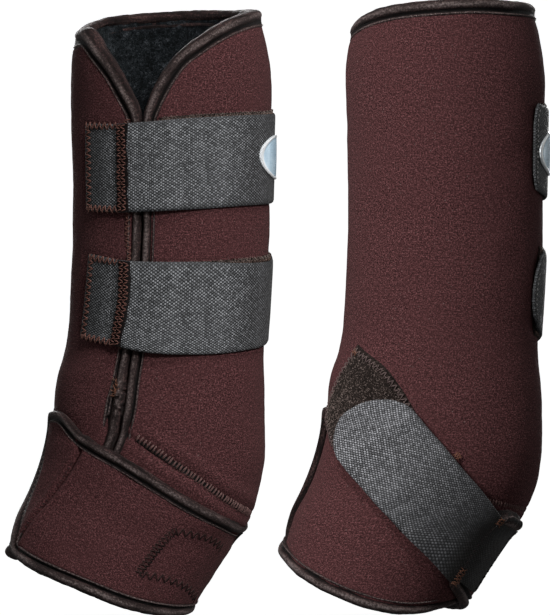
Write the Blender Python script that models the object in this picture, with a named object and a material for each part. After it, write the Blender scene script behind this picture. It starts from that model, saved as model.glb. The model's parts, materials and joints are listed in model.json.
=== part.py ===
"""A pair of horse leg boots (tendon boots with a fetlock sling), one for the near leg and one for the off leg.

Each boot is a wrap of bound neoprene, closed on its outer side by two hook-and-loop straps, with a sling panel
that goes round the fetlock and a third strap that fastens at the front of the inner side.
Metres, +Z up. -X is the front of the legs, +X the back. The origin is midway between the two leg axes,
level with the lowest edge of the boots.

A boot's surface is addressed by (angle, station, offset): the angle in degrees round the leg from the front
over the outer side, the station down the leg, and the offset outwards from the shell's outer face in mm.
"""

import math

import bpy
import numpy as np

# ---- driving dimensions, mm -------------------------------------------------------------------------------
LEG_SPACING = 148.5  # between the two boots' axes, front to back
RIGHT_LIFT = 2.0  # the off boot sits a little higher
# station: front edge x, z; back edge x, z; half depth across the leg
PROFILE = (
    (-1, -52.1, 330.1, 49.4, 339.9, 46.0),
    (0, -52.1, 314.4, 49.4, 323.6, 46.0),
    (1, -54.3, 292.1, 54.3, 292.1, 47.0),
    (2, -53.8, 256.8, 54.0, 256.8, 47.0),
    (3, -53.2, 221.5, 53.5, 221.5, 46.5),
    (4, -54.3, 180.8, 52.7, 180.8, 46.5),
    (5, -56.7, 147.2, 50.5, 145.5, 47.0),
    (6, -61.9, 127.6, 50.8, 118.4, 48.5),
    (7, -63.3, 112.9, 51.0, 98.3, 50.0),
    (8, -63.6, 99.4, 50.5, 82.0, 50.5),
    (9, -67.3, 83.1, 47.2, 64.6, 50.0),
    (10, -73.3, 66.8, 41.3, 48.9, 49.0),
    (11, -80.9, 51.6, 29.9, 36.9, 49.0),
    (12, -85.8, 36.9, 10.3, 7.1, 49.5),
    (13, -90.7, 22.3, -3.3, -14.7, 50.0),
)
SHELL = 5.0  # neoprene wall
LINING = 1.4  # pile lining
GAP = 0.5  # between laid-up layers
# the wrap's closing slit: station, angle
SLIT = ((-1, 73.0), (4, 73.0), (5.2, 71.5), (6.5, 71.0), (7.7, 67.5), (8.6, 64.0), (13, 60.0))
SLIT_HALF = 4.2  # degrees from the slit's centre line to each cut edge of the shell
# cut edges of the shell: angle, station
RIM = (
    (72, 1.86), (77, 1.72), (84, 1.34), (94, 0.90), (110, 0.55), (130, 0.28), (154, 0.12), (180, 0.05),
    (205, -0.03), (231, -0.12), (250, -0.24), (274, -0.32), (298, -0.36), (318, -0.30), (336, -0.16),
    (350, -0.02), (360, 0.04), (374, 0.06), (387, 0.10), (400, 0.52), (413, 0.95), (422, 1.34), (430, 1.70), (433, 1.86),
)
SEAM = (
    (66, 7.40), (78, 7.70), (97, 8.30), (116, 8.79), (135, 9.23), (165, 9.60), (195, 9.62), (215, 9.55), (235, 9.45),
    (255, 9.10), (275, 8.50), (305, 7.90), (340, 7.60), (370, 7.95), (400, 8.55), (436, 9.05),
)
BOTTOM = (
    (58, 12.15), (90, 12.22), (129, 12.15), (160, 12.02), (180, 12.00), (203, 12.12), (242, 12.55), (268, 12.72),
    (300, 12.72), (342, 12.38), (360, 12.12), (385, 12.06), (420, 12.15), (436, 12.18),
)
# the sling: angle, station
SLING_TOP = (
    (0, 7.05), (4, 7.10), (9, 7.26), (52, 8.22), (76, 8.70), (95, 9.18), (111, 9.58), (134, 10.02), (160, 10.34),
    (180, 10.44), (200, 10.40), (213, 10.24), (226, 10.04),
)
SLING_BOTTOM = (
    (0, 12.10), (4, 12.12), (30, 12.22), (56, 12.36), (90, 12.42), (129, 12.32), (159, 12.20), (180, 12.12),
    (197, 12.02), (222, 11.78), (226, 11.76),
)
SLING_FRONT, SLING_CUT, SLING_END = 4.0, 128.0, 222.0
SLING_IN, SLING_OUT = 1.0, 4.8
SLING_THIN = 1.7  # how much thinner the sling is where it is sewn down at the front
# straps on the cannon: angle, station of the upper and of the lower edge
UPPER_EDGES = (((30, 1.78), (65, 1.79), (98, 1.72), (133, 1.66), (180, 1.59), (214, 1.51)),
               ((30, 3.09), (65, 3.12), (98, 3.09), (133, 3.03), (180, 2.96), (214, 2.85)))
LOWER_EDGES = (((30, 3.63), (65, 3.74), (108, 3.76), (144, 3.77), (180, 3.72), (214, 3.62)),
               ((30, 4.87), (62, 5.05), (80, 5.17), (108, 5.19), (149, 5.07), (180, 4.96), (214, 4.84)))
STRAP_START, STRAP_HINGE, STRAP_KNEE = 30.5, 64.3, 128.0
UPPER_TIP, LOWER_TIP = 211.0, 208.0
STRAP = 1.8  # webbing
PATCH_FROM, PATCH_TO = 84.0, 198.0
BADGE = (176.0, 2.27, 24.0, 12.0, 1.2)  # angle, station, half width, half height, thickness
# the fetlock strap, from its sewn end (-2) over the sling's end (0) to its tip (5): angle and station of both edges
FETLOCK_EDGES = (
    (-2, 189.0, 10.56, 189.0, 12.00),
    (-1, 206.0, 10.44, 208.0, 11.94),
    (0, 226.5, 9.86, 228.5, 11.78),
    (1, 245.3, 9.04, 262.0, 11.20),
    (2, 258.5, 8.41, 281.0, 10.53),
    (3, 270.0, 7.72, 299.0, 9.78),
    (4, 281.0, 6.90, 319.0, 9.06),
    (5, 294.0, 6.10, 341.0, 8.20),
)
# the loop patch under it
FETLOCK_PATCH = (
    (0, 250.0, 8.62, 270.0, 11.00),
    (1, 268.0, 7.62, 297.0, 9.95),
    (2, 282.0, 6.65, 319.0, 9.12),
    (3, 300.0, 5.68, 337.0, 8.55),
    (4, 325.0, 5.12, 354.0, 7.75),
)
EDGE = 3.9  # how far a binding stands out from the edge it covers

COLUMNS = 28  # round the leg

# ---- finishes ---------------------------------------------------------------------------------------------
FINISH = {
    "neoprene": ((0.060, 0.026, 0.027), 0.85),
    "lining": ((0.012, 0.012, 0.014), 0.95),
    "binding": ((0.030, 0.019, 0.018), 0.70),
    "webbing": ((0.055, 0.057, 0.061), 0.70),
    "hook": ((0.030, 0.031, 0.033), 0.80),
    "loop": ((0.034, 0.026, 0.022), 0.95),
    "thread": ((0.110, 0.050, 0.032), 0.70),
    "badge": ((0.55, 0.62, 0.68), 0.30),
}


def curve(table, x):
    """A smooth curve through the table's rows, read at x."""
    table = np.asarray(table, float)
    xs, ys = table[:, 0], table[:, 1:]
    slope = np.gradient(ys, xs, axis=0)
    x = np.atleast_1d(np.clip(x, xs[0], xs[-1]))
    i = np.clip(np.searchsorted(xs, x) - 1, 0, len(xs) - 2)
    h = (xs[i + 1] - xs[i])[:, None]
    u = (x[:, None] - xs[i][:, None]) / h
    return (
        (1 + 2 * u) * (1 - u) ** 2 * ys[i] + u * (1 - u) ** 2 * h * slope[i]
        + u * u * (3 - 2 * u) * ys[i + 1] + u * u * (u - 1) * h * slope[i + 1]
    )


def line(table, x):
    return curve(table, x)[:, 0]


class Boot:
    def __init__(self, prefix, side, x, z):
        self.prefix, self.side, self.x, self.z = prefix, side, x, z
        self.empty = bpy.data.objects.new(prefix + "boot", None)
        self.empty.location = (x / 1000, 0, z / 1000)
        bpy.context.scene.collection.objects.link(self.empty)
        self.pivots = {}

    def at(self, angle, station, offset):
        """Points of the surface, in mm, in the boot's own frame."""
        angle, station, offset = np.broadcast_arrays(*(np.asarray(v, float) for v in (angle, station, offset)))
        row = curve(PROFILE, station.ravel())
        front, back, half = row[:, 0:2], row[:, 2:4], row[:, 4]
        middle = (front + back) / 2
        reach = np.linalg.norm(front - middle, axis=1)
        along = (front - middle) / reach[:, None]
        a, d = np.radians(angle.ravel()), offset.ravel()
        flat = middle + ((reach + d) * np.cos(a))[:, None] * along
        y = -self.side * (half + d) * np.sin(a)
        return np.stack([flat[:, 0], y, flat[:, 1]], axis=1).reshape(angle.shape + (3,))

    def aside(self, path, shift):
        """The path of (angle, station) moved sideways within the surface by shift mm: up the leg for a path that runs with the angle."""
        path = np.asarray(path, float)
        step = np.gradient(path, axis=0)
        e = 1e-3
        pa = (self.at(path[:, 0] + e, path[:, 1], 0) - self.at(path[:, 0] - e, path[:, 1], 0)) / (2 * e)
        ps = (self.at(path[:, 0], path[:, 1] + e, 0) - self.at(path[:, 0], path[:, 1] - e, 0)) / (2 * e)
        aa, ss, mix = (pa * pa).sum(1), (ps * ps).sum(1), (pa * ps).sum(1)
        # in the surface's own metric, the direction at a right angle to the step
        ga, gs = aa * step[:, 0] + mix * step[:, 1], mix * step[:, 0] + ss * step[:, 1]
        out = np.stack([gs, -ga], axis=1)
        length = np.sqrt(aa * out[:, 0] ** 2 + 2 * mix * out[:, 0] * out[:, 1] + ss * out[:, 1] ** 2)
        return path + out / length[:, None] * np.broadcast_to(np.asarray(shift, float), len(path))[:, None]

    def add(self, name, points, faces, finish, pivot=None):
        points = np.asarray(points, float)
        # faces turn outwards, whichever way the grid ran
        volume = 0.0
        for f in faces:
            for k in range(1, len(f) - 1):
                volume += np.dot(points[f[0]], np.cross(points[f[k]], points[f[k + 1]]))
        if volume < 0:
            faces = [tuple(reversed(f)) for f in faces]
        where = np.zeros(3) if pivot is None else np.asarray(self.pivots[pivot][0])
        mesh = bpy.data.meshes.new(self.prefix + name)
        mesh.from_pydata(((points - where) / 1000).tolist(), [], faces)
        mesh.validate()
        mesh.shade_smooth()
        mesh.set_sharp_from_angle(angle=math.radians(40))
        mesh.materials.append(FINISHES[finish])
        obj = bpy.data.objects.new(self.prefix + name, mesh)
        obj.parent = self.empty
        obj.location = (where / 1000).tolist()
        bpy.context.scene.collection.objects.link(obj)
        return obj

    def slab(self, name, grid, inner, outer, finish, pivot=None):
        """A closed sheet over a grid of (angle, station), between two offsets."""
        grid = np.asarray(grid, float)
        m, n = grid.shape[:2]
        low = self.at(grid[..., 0], grid[..., 1], np.broadcast_to(inner, (m, n))).reshape(-1, 3)
        high = self.at(grid[..., 0], grid[..., 1], np.broadcast_to(outer, (m, n))).reshape(-1, 3)
        points = np.concatenate([high, low])
        at, k = (lambda i, j: i * n + j), m * n
        faces = []
        for i in range(m - 1):
            for j in range(n - 1):
                q = (at(i, j), at(i + 1, j), at(i + 1, j + 1), at(i, j + 1))
                faces += [q, tuple(v + k for v in reversed(q))]
        ring = [at(i, 0) for i in range(m)] + [at(m - 1, j) for j in range(1, n)]
        ring += [at(i, n - 1) for i in range(m - 2, -1, -1)] + [at(0, j) for j in range(n - 2, 0, -1)]
        for p, q in zip(ring, ring[1:] + ring[:1]):
            faces.append((q, p, p + k, q + k))
        return self.add(name, points, faces, finish, pivot)

    def bar(self, name, path, section, low, high, finish, pivot=None):
        """A bar along a path on the surface. The section's points are (shift from the path in mm, height from low 0 to high 1)."""
        path = np.asarray(path, float)
        n, k = len(path), len(section)
        low, high = np.broadcast_to(low, n), np.broadcast_to(high, n)
        rings = []
        for shift, up in section:
            moved = self.aside(path, shift)
            rings.append(self.at(moved[:, 0], moved[:, 1], low + up * (high - low)))
        points = np.stack(rings, axis=1).reshape(-1, 3)
        faces = []
        for i in range(n - 1):
            for j in range(k):
                p, q = i * k + j, i * k + (j + 1) % k
                faces.append((p, q, q + k, p + k))
        faces += [tuple(reversed(range(k))), tuple(range((n - 1) * k, n * k))]
        return self.add(name, points, faces, finish, pivot)

    def hinge(self, name, path, offset, outward=0.2):
        """A joint's pivot and axis: the straight line over a path on the surface, moved out to clear the path's bulge."""
        points = self.at(path[:, 0], path[:, 1], offset)
        axis = points[-1] - points[0]
        axis /= np.linalg.norm(axis)
        middle = points.mean(axis=0)
        beyond = self.at(path[:, 0], path[:, 1], offset + 5.0).mean(axis=0) - middle
        beyond -= axis * np.dot(beyond, axis)
        beyond /= np.linalg.norm(beyond)
        middle = middle + beyond * (max(np.dot(p - middle, beyond) for p in points) + outward)
        self.pivots[name] = (middle, axis)


def fan(a, b, n):
    return np.linspace(a, b, n + 1)


def between(first, last, shares):
    """Rows of a grid between two edges: shares run from 0 to 1."""
    return np.stack([first + (last - first) * s for s in shares], axis=1)


def slit_angle(station):
    return line(SLIT, station)


BAR = ((0.3, 0.0), (0.3, 1.0), (0.55 * EDGE, 1.0), (EDGE, 0.72), (EDGE, 0.28), (0.55 * EDGE, 0.0))
SLIT_BAR = ((0.3, 0.0), (0.3, 1.0), (2.2, 1.0), (3.4, 0.8), (3.4, 0.2), (2.2, 0.0))


def flipped(section):
    return tuple((-s, h) for s, h in section)


def body(boot):
    skin = SHELL + GAP + LINING
    share = fan(0, 1, COLUMNS)
    # columns stand closer near the slit, where the rim dips
    rough = 73 + SLIT_HALF + (share - 0.45 * np.sin(2 * np.pi * share) / (2 * np.pi)) * (360 - 2 * SLIT_HALF)
    pull = np.clip(1 - np.minimum(share, 1 - share) / 0.13, 0, 1)[:, None]

    def follow(station, inset):
        """The columns near the slit follow it down the leg. The lining stops short of the cut edges."""
        lean = slit_angle(station.ravel()).reshape(station.shape) - 73
        columns = 253 + (rough - 253) * (0.996 if inset else 1.0)
        return np.stack([columns[:, None] + pull * lean, station], axis=2)

    rim, seam_line, hem = line(RIM, rough), line(SEAM, rough), line(BOTTOM, rough)

    def cannon(inset):
        top, low = rim + inset, seam_line - 0.012
        rows = [top, (top + 2.4) / 2] + [np.full(COLUMNS + 1, s) for s in (2.4, 3.7, 4.9, 5.6, 6.3)]
        return follow(np.stack(rows + [(6.3 + low) / 2, low], axis=1), inset)

    def fetlock(inset):
        return follow(between(seam_line + 0.012, hem - inset, fan(0, 1, 4)), inset)

    boot.slab("cannon_shell", cannon(0.0), -SHELL, 0.0, "neoprene")
    boot.slab("cannon_lining", cannon(0.03), -skin, -SHELL - GAP, "lining")
    boot.slab("fetlock_panel", fetlock(0.0), -SHELL, 0.0, "neoprene")
    boot.slab("fetlock_lining", fetlock(0.04), -skin, -SHELL - GAP, "lining")

    # bindings
    boot.bar("rim_binding", cannon(0.0)[:, 0], BAR, -skin - 0.8, 1.0, "binding")
    low = fetlock(0.0)[:, -1]
    inside = np.clip(np.minimum(low[:, 0] - 212, 356 - low[:, 0]) / 14, 0, 1)
    boot.bar("bottom_binding", low, flipped(BAR), -skin - 0.8, inside, "binding")
    for name, sign in (("front_edge_binding", -1), ("rear_edge_binding", 1)):
        column = 0 if sign > 0 else -1
        # the binding bends where the shell's cut edge does
        station = np.concatenate([cannon(0.0)[column, :-1, 1], fetlock(0.0)[column, :, 1]])
        station[0] += 0.05
        station[-1] -= 0.03
        edge = np.stack([slit_angle(station) + sign * SLIT_HALF, station], axis=1)
        height = 1.0 - np.clip((station - 6.3) / 1.0, 0, 1)
        boot.bar(name, edge, SLIT_BAR if sign < 0 else flipped(SLIT_BAR), -skin - 0.4, height, "binding")
    # the flat seam that joins cannon and fetlock, seen on the outer side and the back
    angle = fan(80, 240, 15)
    seam = np.stack([angle, line(SEAM, angle)], axis=1)
    boot.bar("fetlock_seam", seam, ((-2.2, 0), (-2.2, 1), (2.2, 1), (2.2, 0)), 0.5, 1.2, "thread")


def sling(boot):
    def panel(a, b, n):
        angle = fan(a, b, n)
        return np.stack(
            [np.broadcast_to(angle[:, None], (n + 1, 5)), between(line(SLING_TOP, angle), line(SLING_BOTTOM, angle), fan(0, 1, 4))], axis=2
        )

    def outer(angle):
        return SLING_OUT - SLING_THIN * np.clip(1 - angle / 40, 0, 1) ** 1.5

    near, far = SLING_CUT - 0.4, SLING_CUT + 0.4
    boot.hinge("sling_tail", np.stack([np.full(7, SLING_CUT), fan(line(SLING_TOP, SLING_CUT)[0], line(SLING_BOTTOM, SLING_CUT)[0], 6)], axis=1), SLING_OUT + 0.6)
    boot.slab("sling_panel", panel(SLING_FRONT, near, 11), SLING_IN, outer(fan(SLING_FRONT, near, 11))[:, None], "neoprene")
    boot.slab("sling_tail", panel(far, SLING_END, 9), SLING_IN, SLING_OUT, "neoprene", "sling_tail")

    def outline(a, b, n):
        """Round the free edges: along the top, down the end at b, back along the bottom."""
        angle = fan(a, b, n)
        down = fan(line(SLING_TOP, b)[0], line(SLING_BOTTOM, b)[0], 4)[1:-1]
        return np.concatenate([
            np.stack([angle, line(SLING_TOP, angle)], axis=1),
            np.stack([np.full(3, b), down], axis=1),
            np.stack([angle[::-1], line(SLING_BOTTOM, angle[::-1])], axis=1),
        ])

    path = outline(near, SLING_FRONT, 11)
    boot.bar("sling_binding", path, flipped(BAR), SLING_IN - 0.4, outer(path[:, 0]) + 0.6, "binding")
    boot.bar("sling_tail_binding", outline(far, SLING_END, 9), BAR, SLING_IN - 0.4, SLING_OUT + 0.6, "binding", "sling_tail")


def straps(boot):
    inner = 3.1
    for name, edges, tip, corner in (("upper", UPPER_EDGES, UPPER_TIP, 4.0), ("lower", LOWER_EDGES, LOWER_TIP, 22.0)):
        def strip(angles, inset=0.0, shares=(0, 0.5, 1)):
            first, last = line(edges[0], angles) + inset, line(edges[1], angles) - inset
            grid = between(first, last, shares)
            return np.stack([np.broadcast_to(angles[:, None], grid.shape), grid], axis=2)

        def tongue(first, last, n, inset):
            """A stretch of strap whose far end is drawn back in a round at its corners."""
            shares = np.array([0, 0.11, 0.3, 0.5, 0.7, 0.89, 1])
            grid = strip(fan(first, last, n), inset, shares)
            turn = tip - max(corner, 18)
            back = 1 - np.sqrt(1 - np.abs(2 * shares - 1) ** 2)
            grid[..., 0] -= np.clip((grid[..., 0] - turn) / (tip - turn), 0, 1) * corner * back
            return grid

        here = lambda k: np.stack([np.full(3, k), fan(line(edges[0], k)[0], line(edges[1], k)[0], 2)], axis=1)
        boot.hinge(name + "_strap", here(STRAP_HINGE), inner + STRAP)
        boot.hinge(name + "_strap_end", here(STRAP_KNEE), inner + STRAP)
        angles = fan(STRAP_START, STRAP_HINGE - 0.3, 4)
        lift = (0.5 + (inner - 0.5) * np.clip((angles - 44) / 18, 0, 1))[:, None]
        boot.slab(name + "_strap_base", strip(angles), lift, lift + STRAP, "webbing")
        boot.slab(name + "_strap", strip(fan(STRAP_HINGE + 0.3, STRAP_KNEE - 0.3, 7)), inner, inner + STRAP, "webbing", name + "_strap")
        boot.slab(name + "_strap_end", tongue(STRAP_KNEE + 0.3, tip, 8, 0.0), inner, inner + STRAP, "webbing", name + "_strap_end")
        boot.slab(name + "_hook_patch", tongue(142, tip - 1.6, 6, 0.07), 2.05, 2.7, "hook", name + "_strap_end")
        boot.slab(name + "_loop_patch", strip(fan(PATCH_FROM, PATCH_TO, 12), -0.05 if name == "upper" else 0.0), 0.5, 1.35, "loop")
    # a plain oval plate on the upper strap
    angle, station, wide, high, thick = BADGE
    e = 1e-3
    per_degree = np.linalg.norm(boot.at(angle + e, station, 0) - boot.at(angle - e, station, 0)) / (2 * e)
    per_station = np.linalg.norm(boot.at(angle, station + e, 0) - boot.at(angle, station - e, 0)) / (2 * e)
    across = np.linspace(-1, 1, 8)
    chord = np.maximum(np.sqrt(np.maximum(1 - across**2, 0)), 0.22)
    grid = np.stack([
        np.broadcast_to((angle + across * wide / per_degree)[:, None], (8, 3)),
        station + chord[:, None] * np.linspace(-1, 1, 3)[None, :] * high / per_station,
    ], axis=2)
    boot.slab("upper_badge", grid, inner + STRAP + 0.4, inner + STRAP + 0.4 + thick, "badge", "upper_strap_end")


def fetlock_strap(boot):
    inner, thick, over = 4.4, 1.8, SLING_OUT + 1.1

    def ribbon(table, first, last, n, trim=0.0, tip=False):
        columns = []
        for share in (0, 0.08, 0.29, 0.5, 0.71, 0.92, 1):
            k = fan(first, last + (math.sqrt(1 - (2 * share - 1) ** 2) if tip else 0.0), n)
            row = curve(table, k)
            columns.append(row[:, :2] + (row[:, 2:] - row[:, :2]) * (trim + (1 - 2 * trim) * share))
        return np.stack(columns, axis=1)

    boot.hinge("fetlock_strap", ribbon(FETLOCK_EDGES, 0, 1, 1)[0], over + thick)
    boot.slab("fetlock_strap_base", ribbon(FETLOCK_EDGES, -2, -0.02, 4), over, over + thick, "webbing", "sling_tail")
    grid = ribbon(FETLOCK_EDGES, 0.02, 4, 10, 0.0, True)
    fall = inner + (over - inner) * (1 - np.clip((fan(0, 5, 10)[:, None] - 0.5) / 1.0, 0, 1))
    boot.slab("fetlock_strap", grid, fall, fall + thick, "webbing", "fetlock_strap")
    boot.slab("fetlock_hook_patch", ribbon(FETLOCK_EDGES, 2.0, 3.9, 6, 0.06, True), 3.0, 3.6, "hook", "fetlock_strap")
    boot.slab("fetlock_loop_patch", ribbon(FETLOCK_PATCH, 0, 4, 9), 1.15, 2.15, "loop")


for old in list(bpy.data.objects):
    bpy.data.objects.remove(old, do_unlink=True)

FINISHES = {}
for key, (colour, rough) in FINISH.items():
    material = bpy.data.materials.new(key)
    material.use_nodes = True
    shader = material.node_tree.nodes["Principled BSDF"]
    shader.inputs["Base Color"].default_value = (*colour, 1)
    shader.inputs["Roughness"].default_value = rough
    shader.inputs["Metallic"].default_value = 0.6 if key == "badge" else 0.0
    FINISHES[key] = material

BOOTS = (Boot("left_", 1, -LEG_SPACING / 2, 0.0), Boot("right_", -1, LEG_SPACING / 2, RIGHT_LIFT))
for boot in BOOTS:
    body(boot)
    sling(boot)
    straps(boot)
    fetlock_strap(boot)
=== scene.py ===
"""How the pair of tendon boots looks: the neoprene, the lining, the rolled bindings, the webbing, the loop pile and the stitching.

A boot's surface is addressed as in the construction: (angle, station, offset), the angle in degrees round the leg from
the front over the outer side, the station down the leg, the offset outwards from the shell's outer face in mm.
"""

import json
import math

import bpy
import numpy as np
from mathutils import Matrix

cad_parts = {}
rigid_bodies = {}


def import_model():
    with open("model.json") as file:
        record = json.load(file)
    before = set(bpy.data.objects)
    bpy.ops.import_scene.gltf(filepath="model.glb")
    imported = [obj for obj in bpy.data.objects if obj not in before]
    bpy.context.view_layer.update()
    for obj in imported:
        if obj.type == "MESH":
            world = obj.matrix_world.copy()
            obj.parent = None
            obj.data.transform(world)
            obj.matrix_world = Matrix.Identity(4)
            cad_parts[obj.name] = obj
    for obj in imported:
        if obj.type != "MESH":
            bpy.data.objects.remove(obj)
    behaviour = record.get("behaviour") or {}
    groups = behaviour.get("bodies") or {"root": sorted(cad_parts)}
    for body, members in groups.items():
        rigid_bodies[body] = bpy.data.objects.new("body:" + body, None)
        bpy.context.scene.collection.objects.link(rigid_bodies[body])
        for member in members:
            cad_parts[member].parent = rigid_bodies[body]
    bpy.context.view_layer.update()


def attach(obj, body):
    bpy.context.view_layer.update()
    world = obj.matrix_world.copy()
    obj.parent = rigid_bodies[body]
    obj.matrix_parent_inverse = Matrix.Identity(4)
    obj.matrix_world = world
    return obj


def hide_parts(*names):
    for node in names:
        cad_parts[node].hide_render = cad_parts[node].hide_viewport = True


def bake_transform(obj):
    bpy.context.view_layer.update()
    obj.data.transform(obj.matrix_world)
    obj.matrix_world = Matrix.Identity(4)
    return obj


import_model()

# ---- the construction's driving dimensions, mm -----------------------------------------------------------------
LEG_SPACING, RIGHT_LIFT = 148.5, 2.0
PROFILE = (
    (-1, -52.1, 330.1, 49.4, 339.9, 46.0),
    (0, -52.1, 314.4, 49.4, 323.6, 46.0),
    (1, -54.3, 292.1, 54.3, 292.1, 47.0),
    (2, -53.8, 256.8, 54.0, 256.8, 47.0),
    (3, -53.2, 221.5, 53.5, 221.5, 46.5),
    (4, -54.3, 180.8, 52.7, 180.8, 46.5),
    (5, -56.7, 147.2, 50.5, 145.5, 47.0),
    (6, -61.9, 127.6, 50.8, 118.4, 48.5),
    (7, -63.3, 112.9, 51.0, 98.3, 50.0),
    (8, -63.6, 99.4, 50.5, 82.0, 50.5),
    (9, -67.3, 83.1, 47.2, 64.6, 50.0),
    (10, -73.3, 66.8, 41.3, 48.9, 49.0),
    (11, -80.9, 51.6, 29.9, 36.9, 49.0),
    (12, -85.8, 36.9, 10.3, 7.1, 49.5),
    (13, -90.7, 22.3, -3.3, -14.7, 50.0),
)
SHELL, LINING, GAP = 5.0, 1.4, 0.5
SLIT = ((-1, 73.0), (4, 73.0), (5.2, 71.5), (6.5, 71.0), (7.7, 67.5), (8.6, 64.0), (13, 60.0))
SLIT_HALF = 4.2
RIM = (
    (72, 1.86), (77, 1.72), (84, 1.34), (94, 0.90), (110, 0.55), (130, 0.28), (154, 0.12), (180, 0.05),
    (205, -0.03), (231, -0.12), (250, -0.24), (274, -0.32), (298, -0.36), (318, -0.30), (336, -0.16),
    (350, -0.02), (360, 0.04), (374, 0.06), (387, 0.10), (400, 0.52), (413, 0.95), (422, 1.34), (430, 1.70), (433, 1.86),
)
SEAM = (
    (66, 7.40), (78, 7.70), (97, 8.30), (116, 8.79), (135, 9.23), (165, 9.60), (195, 9.62), (215, 9.55), (235, 9.45),
    (255, 9.10), (275, 8.50), (305, 7.90), (340, 7.60), (370, 7.95), (400, 8.55), (436, 9.05),
)
BOTTOM = (
    (58, 12.15), (90, 12.22), (129, 12.15), (160, 12.02), (180, 12.00), (203, 12.12), (242, 12.55), (268, 12.72),
    (300, 12.72), (342, 12.38), (360, 12.12), (385, 12.06), (420, 12.15), (436, 12.18),
)
SLING_TOP = (
    (0, 7.05), (4, 7.10), (9, 7.26), (52, 8.22), (76, 8.70), (95, 9.18), (111, 9.58), (134, 10.02), (160, 10.34),
    (180, 10.44), (200, 10.40), (213, 10.24), (226, 10.04),
)
SLING_BOTTOM = (
    (0, 12.10), (4, 12.12), (30, 12.22), (56, 12.36), (90, 12.42), (129, 12.32), (159, 12.20), (180, 12.12),
    (197, 12.02), (222, 11.78), (226, 11.76),
)
SLING_FRONT, SLING_CUT, SLING_END = 4.0, 128.0, 222.0
SLING_IN, SLING_OUT, SLING_THIN = 1.0, 4.8, 1.7
UPPER_EDGES = (((30, 1.78), (65, 1.79), (98, 1.72), (133, 1.66), (180, 1.59), (214, 1.51)),
               ((30, 3.09), (65, 3.12), (98, 3.09), (133, 3.03), (180, 2.96), (214, 2.85)))
LOWER_EDGES = (((30, 3.63), (65, 3.74), (108, 3.76), (144, 3.77), (180, 3.72), (214, 3.62)),
               ((30, 4.87), (62, 5.05), (80, 5.17), (108, 5.19), (149, 5.07), (180, 4.96), (214, 4.84)))
STRAP_START, STRAP_HINGE, STRAP_KNEE = 30.5, 64.3, 128.0
UPPER_TIP, LOWER_TIP = 211.0, 208.0
STRAP_IN, STRAP = 3.1, 1.8
PATCH_FROM, PATCH_TO = 84.0, 198.0
BADGE = (177.5, 2.27, 24.0, 12.0)
FETLOCK_EDGES = (
    (-2, 189.0, 10.56, 189.0, 12.00),
    (-1, 206.0, 10.44, 208.0, 11.94),
    (0, 226.5, 9.86, 228.5, 11.78),
    (1, 245.3, 9.04, 262.0, 11.20),
    (2, 258.5, 8.41, 281.0, 10.53),
    (3, 270.0, 7.72, 299.0, 9.78),
    (4, 281.0, 6.90, 319.0, 9.06),
    (5, 294.0, 6.10, 341.0, 8.20),
)
FETLOCK_PATCH = (
    (0, 250.0, 8.62, 270.0, 11.00),
    (1, 268.0, 7.62, 297.0, 9.95),
    (2, 282.0, 6.65, 319.0, 9.12),
    (3, 300.0, 5.68, 337.0, 8.55),
    (4, 325.0, 5.12, 354.0, 7.75),
)


def curve(table, x):
    """A smooth curve through the table's rows, read at x."""
    table = np.asarray(table, float)
    xs, ys = table[:, 0], table[:, 1:]
    slope = np.gradient(ys, xs, axis=0)
    x = np.clip(np.atleast_1d(x), xs[0], xs[-1])
    i = np.clip(np.searchsorted(xs, x) - 1, 0, len(xs) - 2)
    h = (xs[i + 1] - xs[i])[:, None]
    u = (x[:, None] - xs[i][:, None]) / h
    return (
        (1 + 2 * u) * (1 - u) ** 2 * ys[i] + u * (1 - u) ** 2 * h * slope[i]
        + u * u * (3 - 2 * u) * ys[i + 1] + u * u * (u - 1) * h * slope[i + 1]
    )


def line(table, x):
    x = np.asarray(x, float)
    return curve(table, x.ravel())[:, 0].reshape(x.shape)


def ramp(x, low, high):
    """0 before low, 1 after high, smooth between them."""
    u = np.clip((np.asarray(x, float) - low) / (high - low), 0, 1)
    return u * u * (3 - 2 * u)


def bump(x, low, high, soft):
    return ramp(x, low - soft, low + soft) * (1 - ramp(x, high - soft, high + soft))


def wobble(x, y, size, seed):
    """Smooth unevenness between about -1 and 1, with features of that size."""
    rng = np.random.default_rng(seed)
    total = np.zeros(np.broadcast(x, y).shape)
    for _ in range(14):
        way, wave, phase = rng.uniform(0, 2 * np.pi), rng.uniform(0.6, 1.7) / size, rng.uniform(0, 2 * np.pi)
        total = total + np.sin(2 * np.pi * wave * (np.cos(way) * x + np.sin(way) * y) + phase)
    return total / 14**0.5 / 1.4


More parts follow.
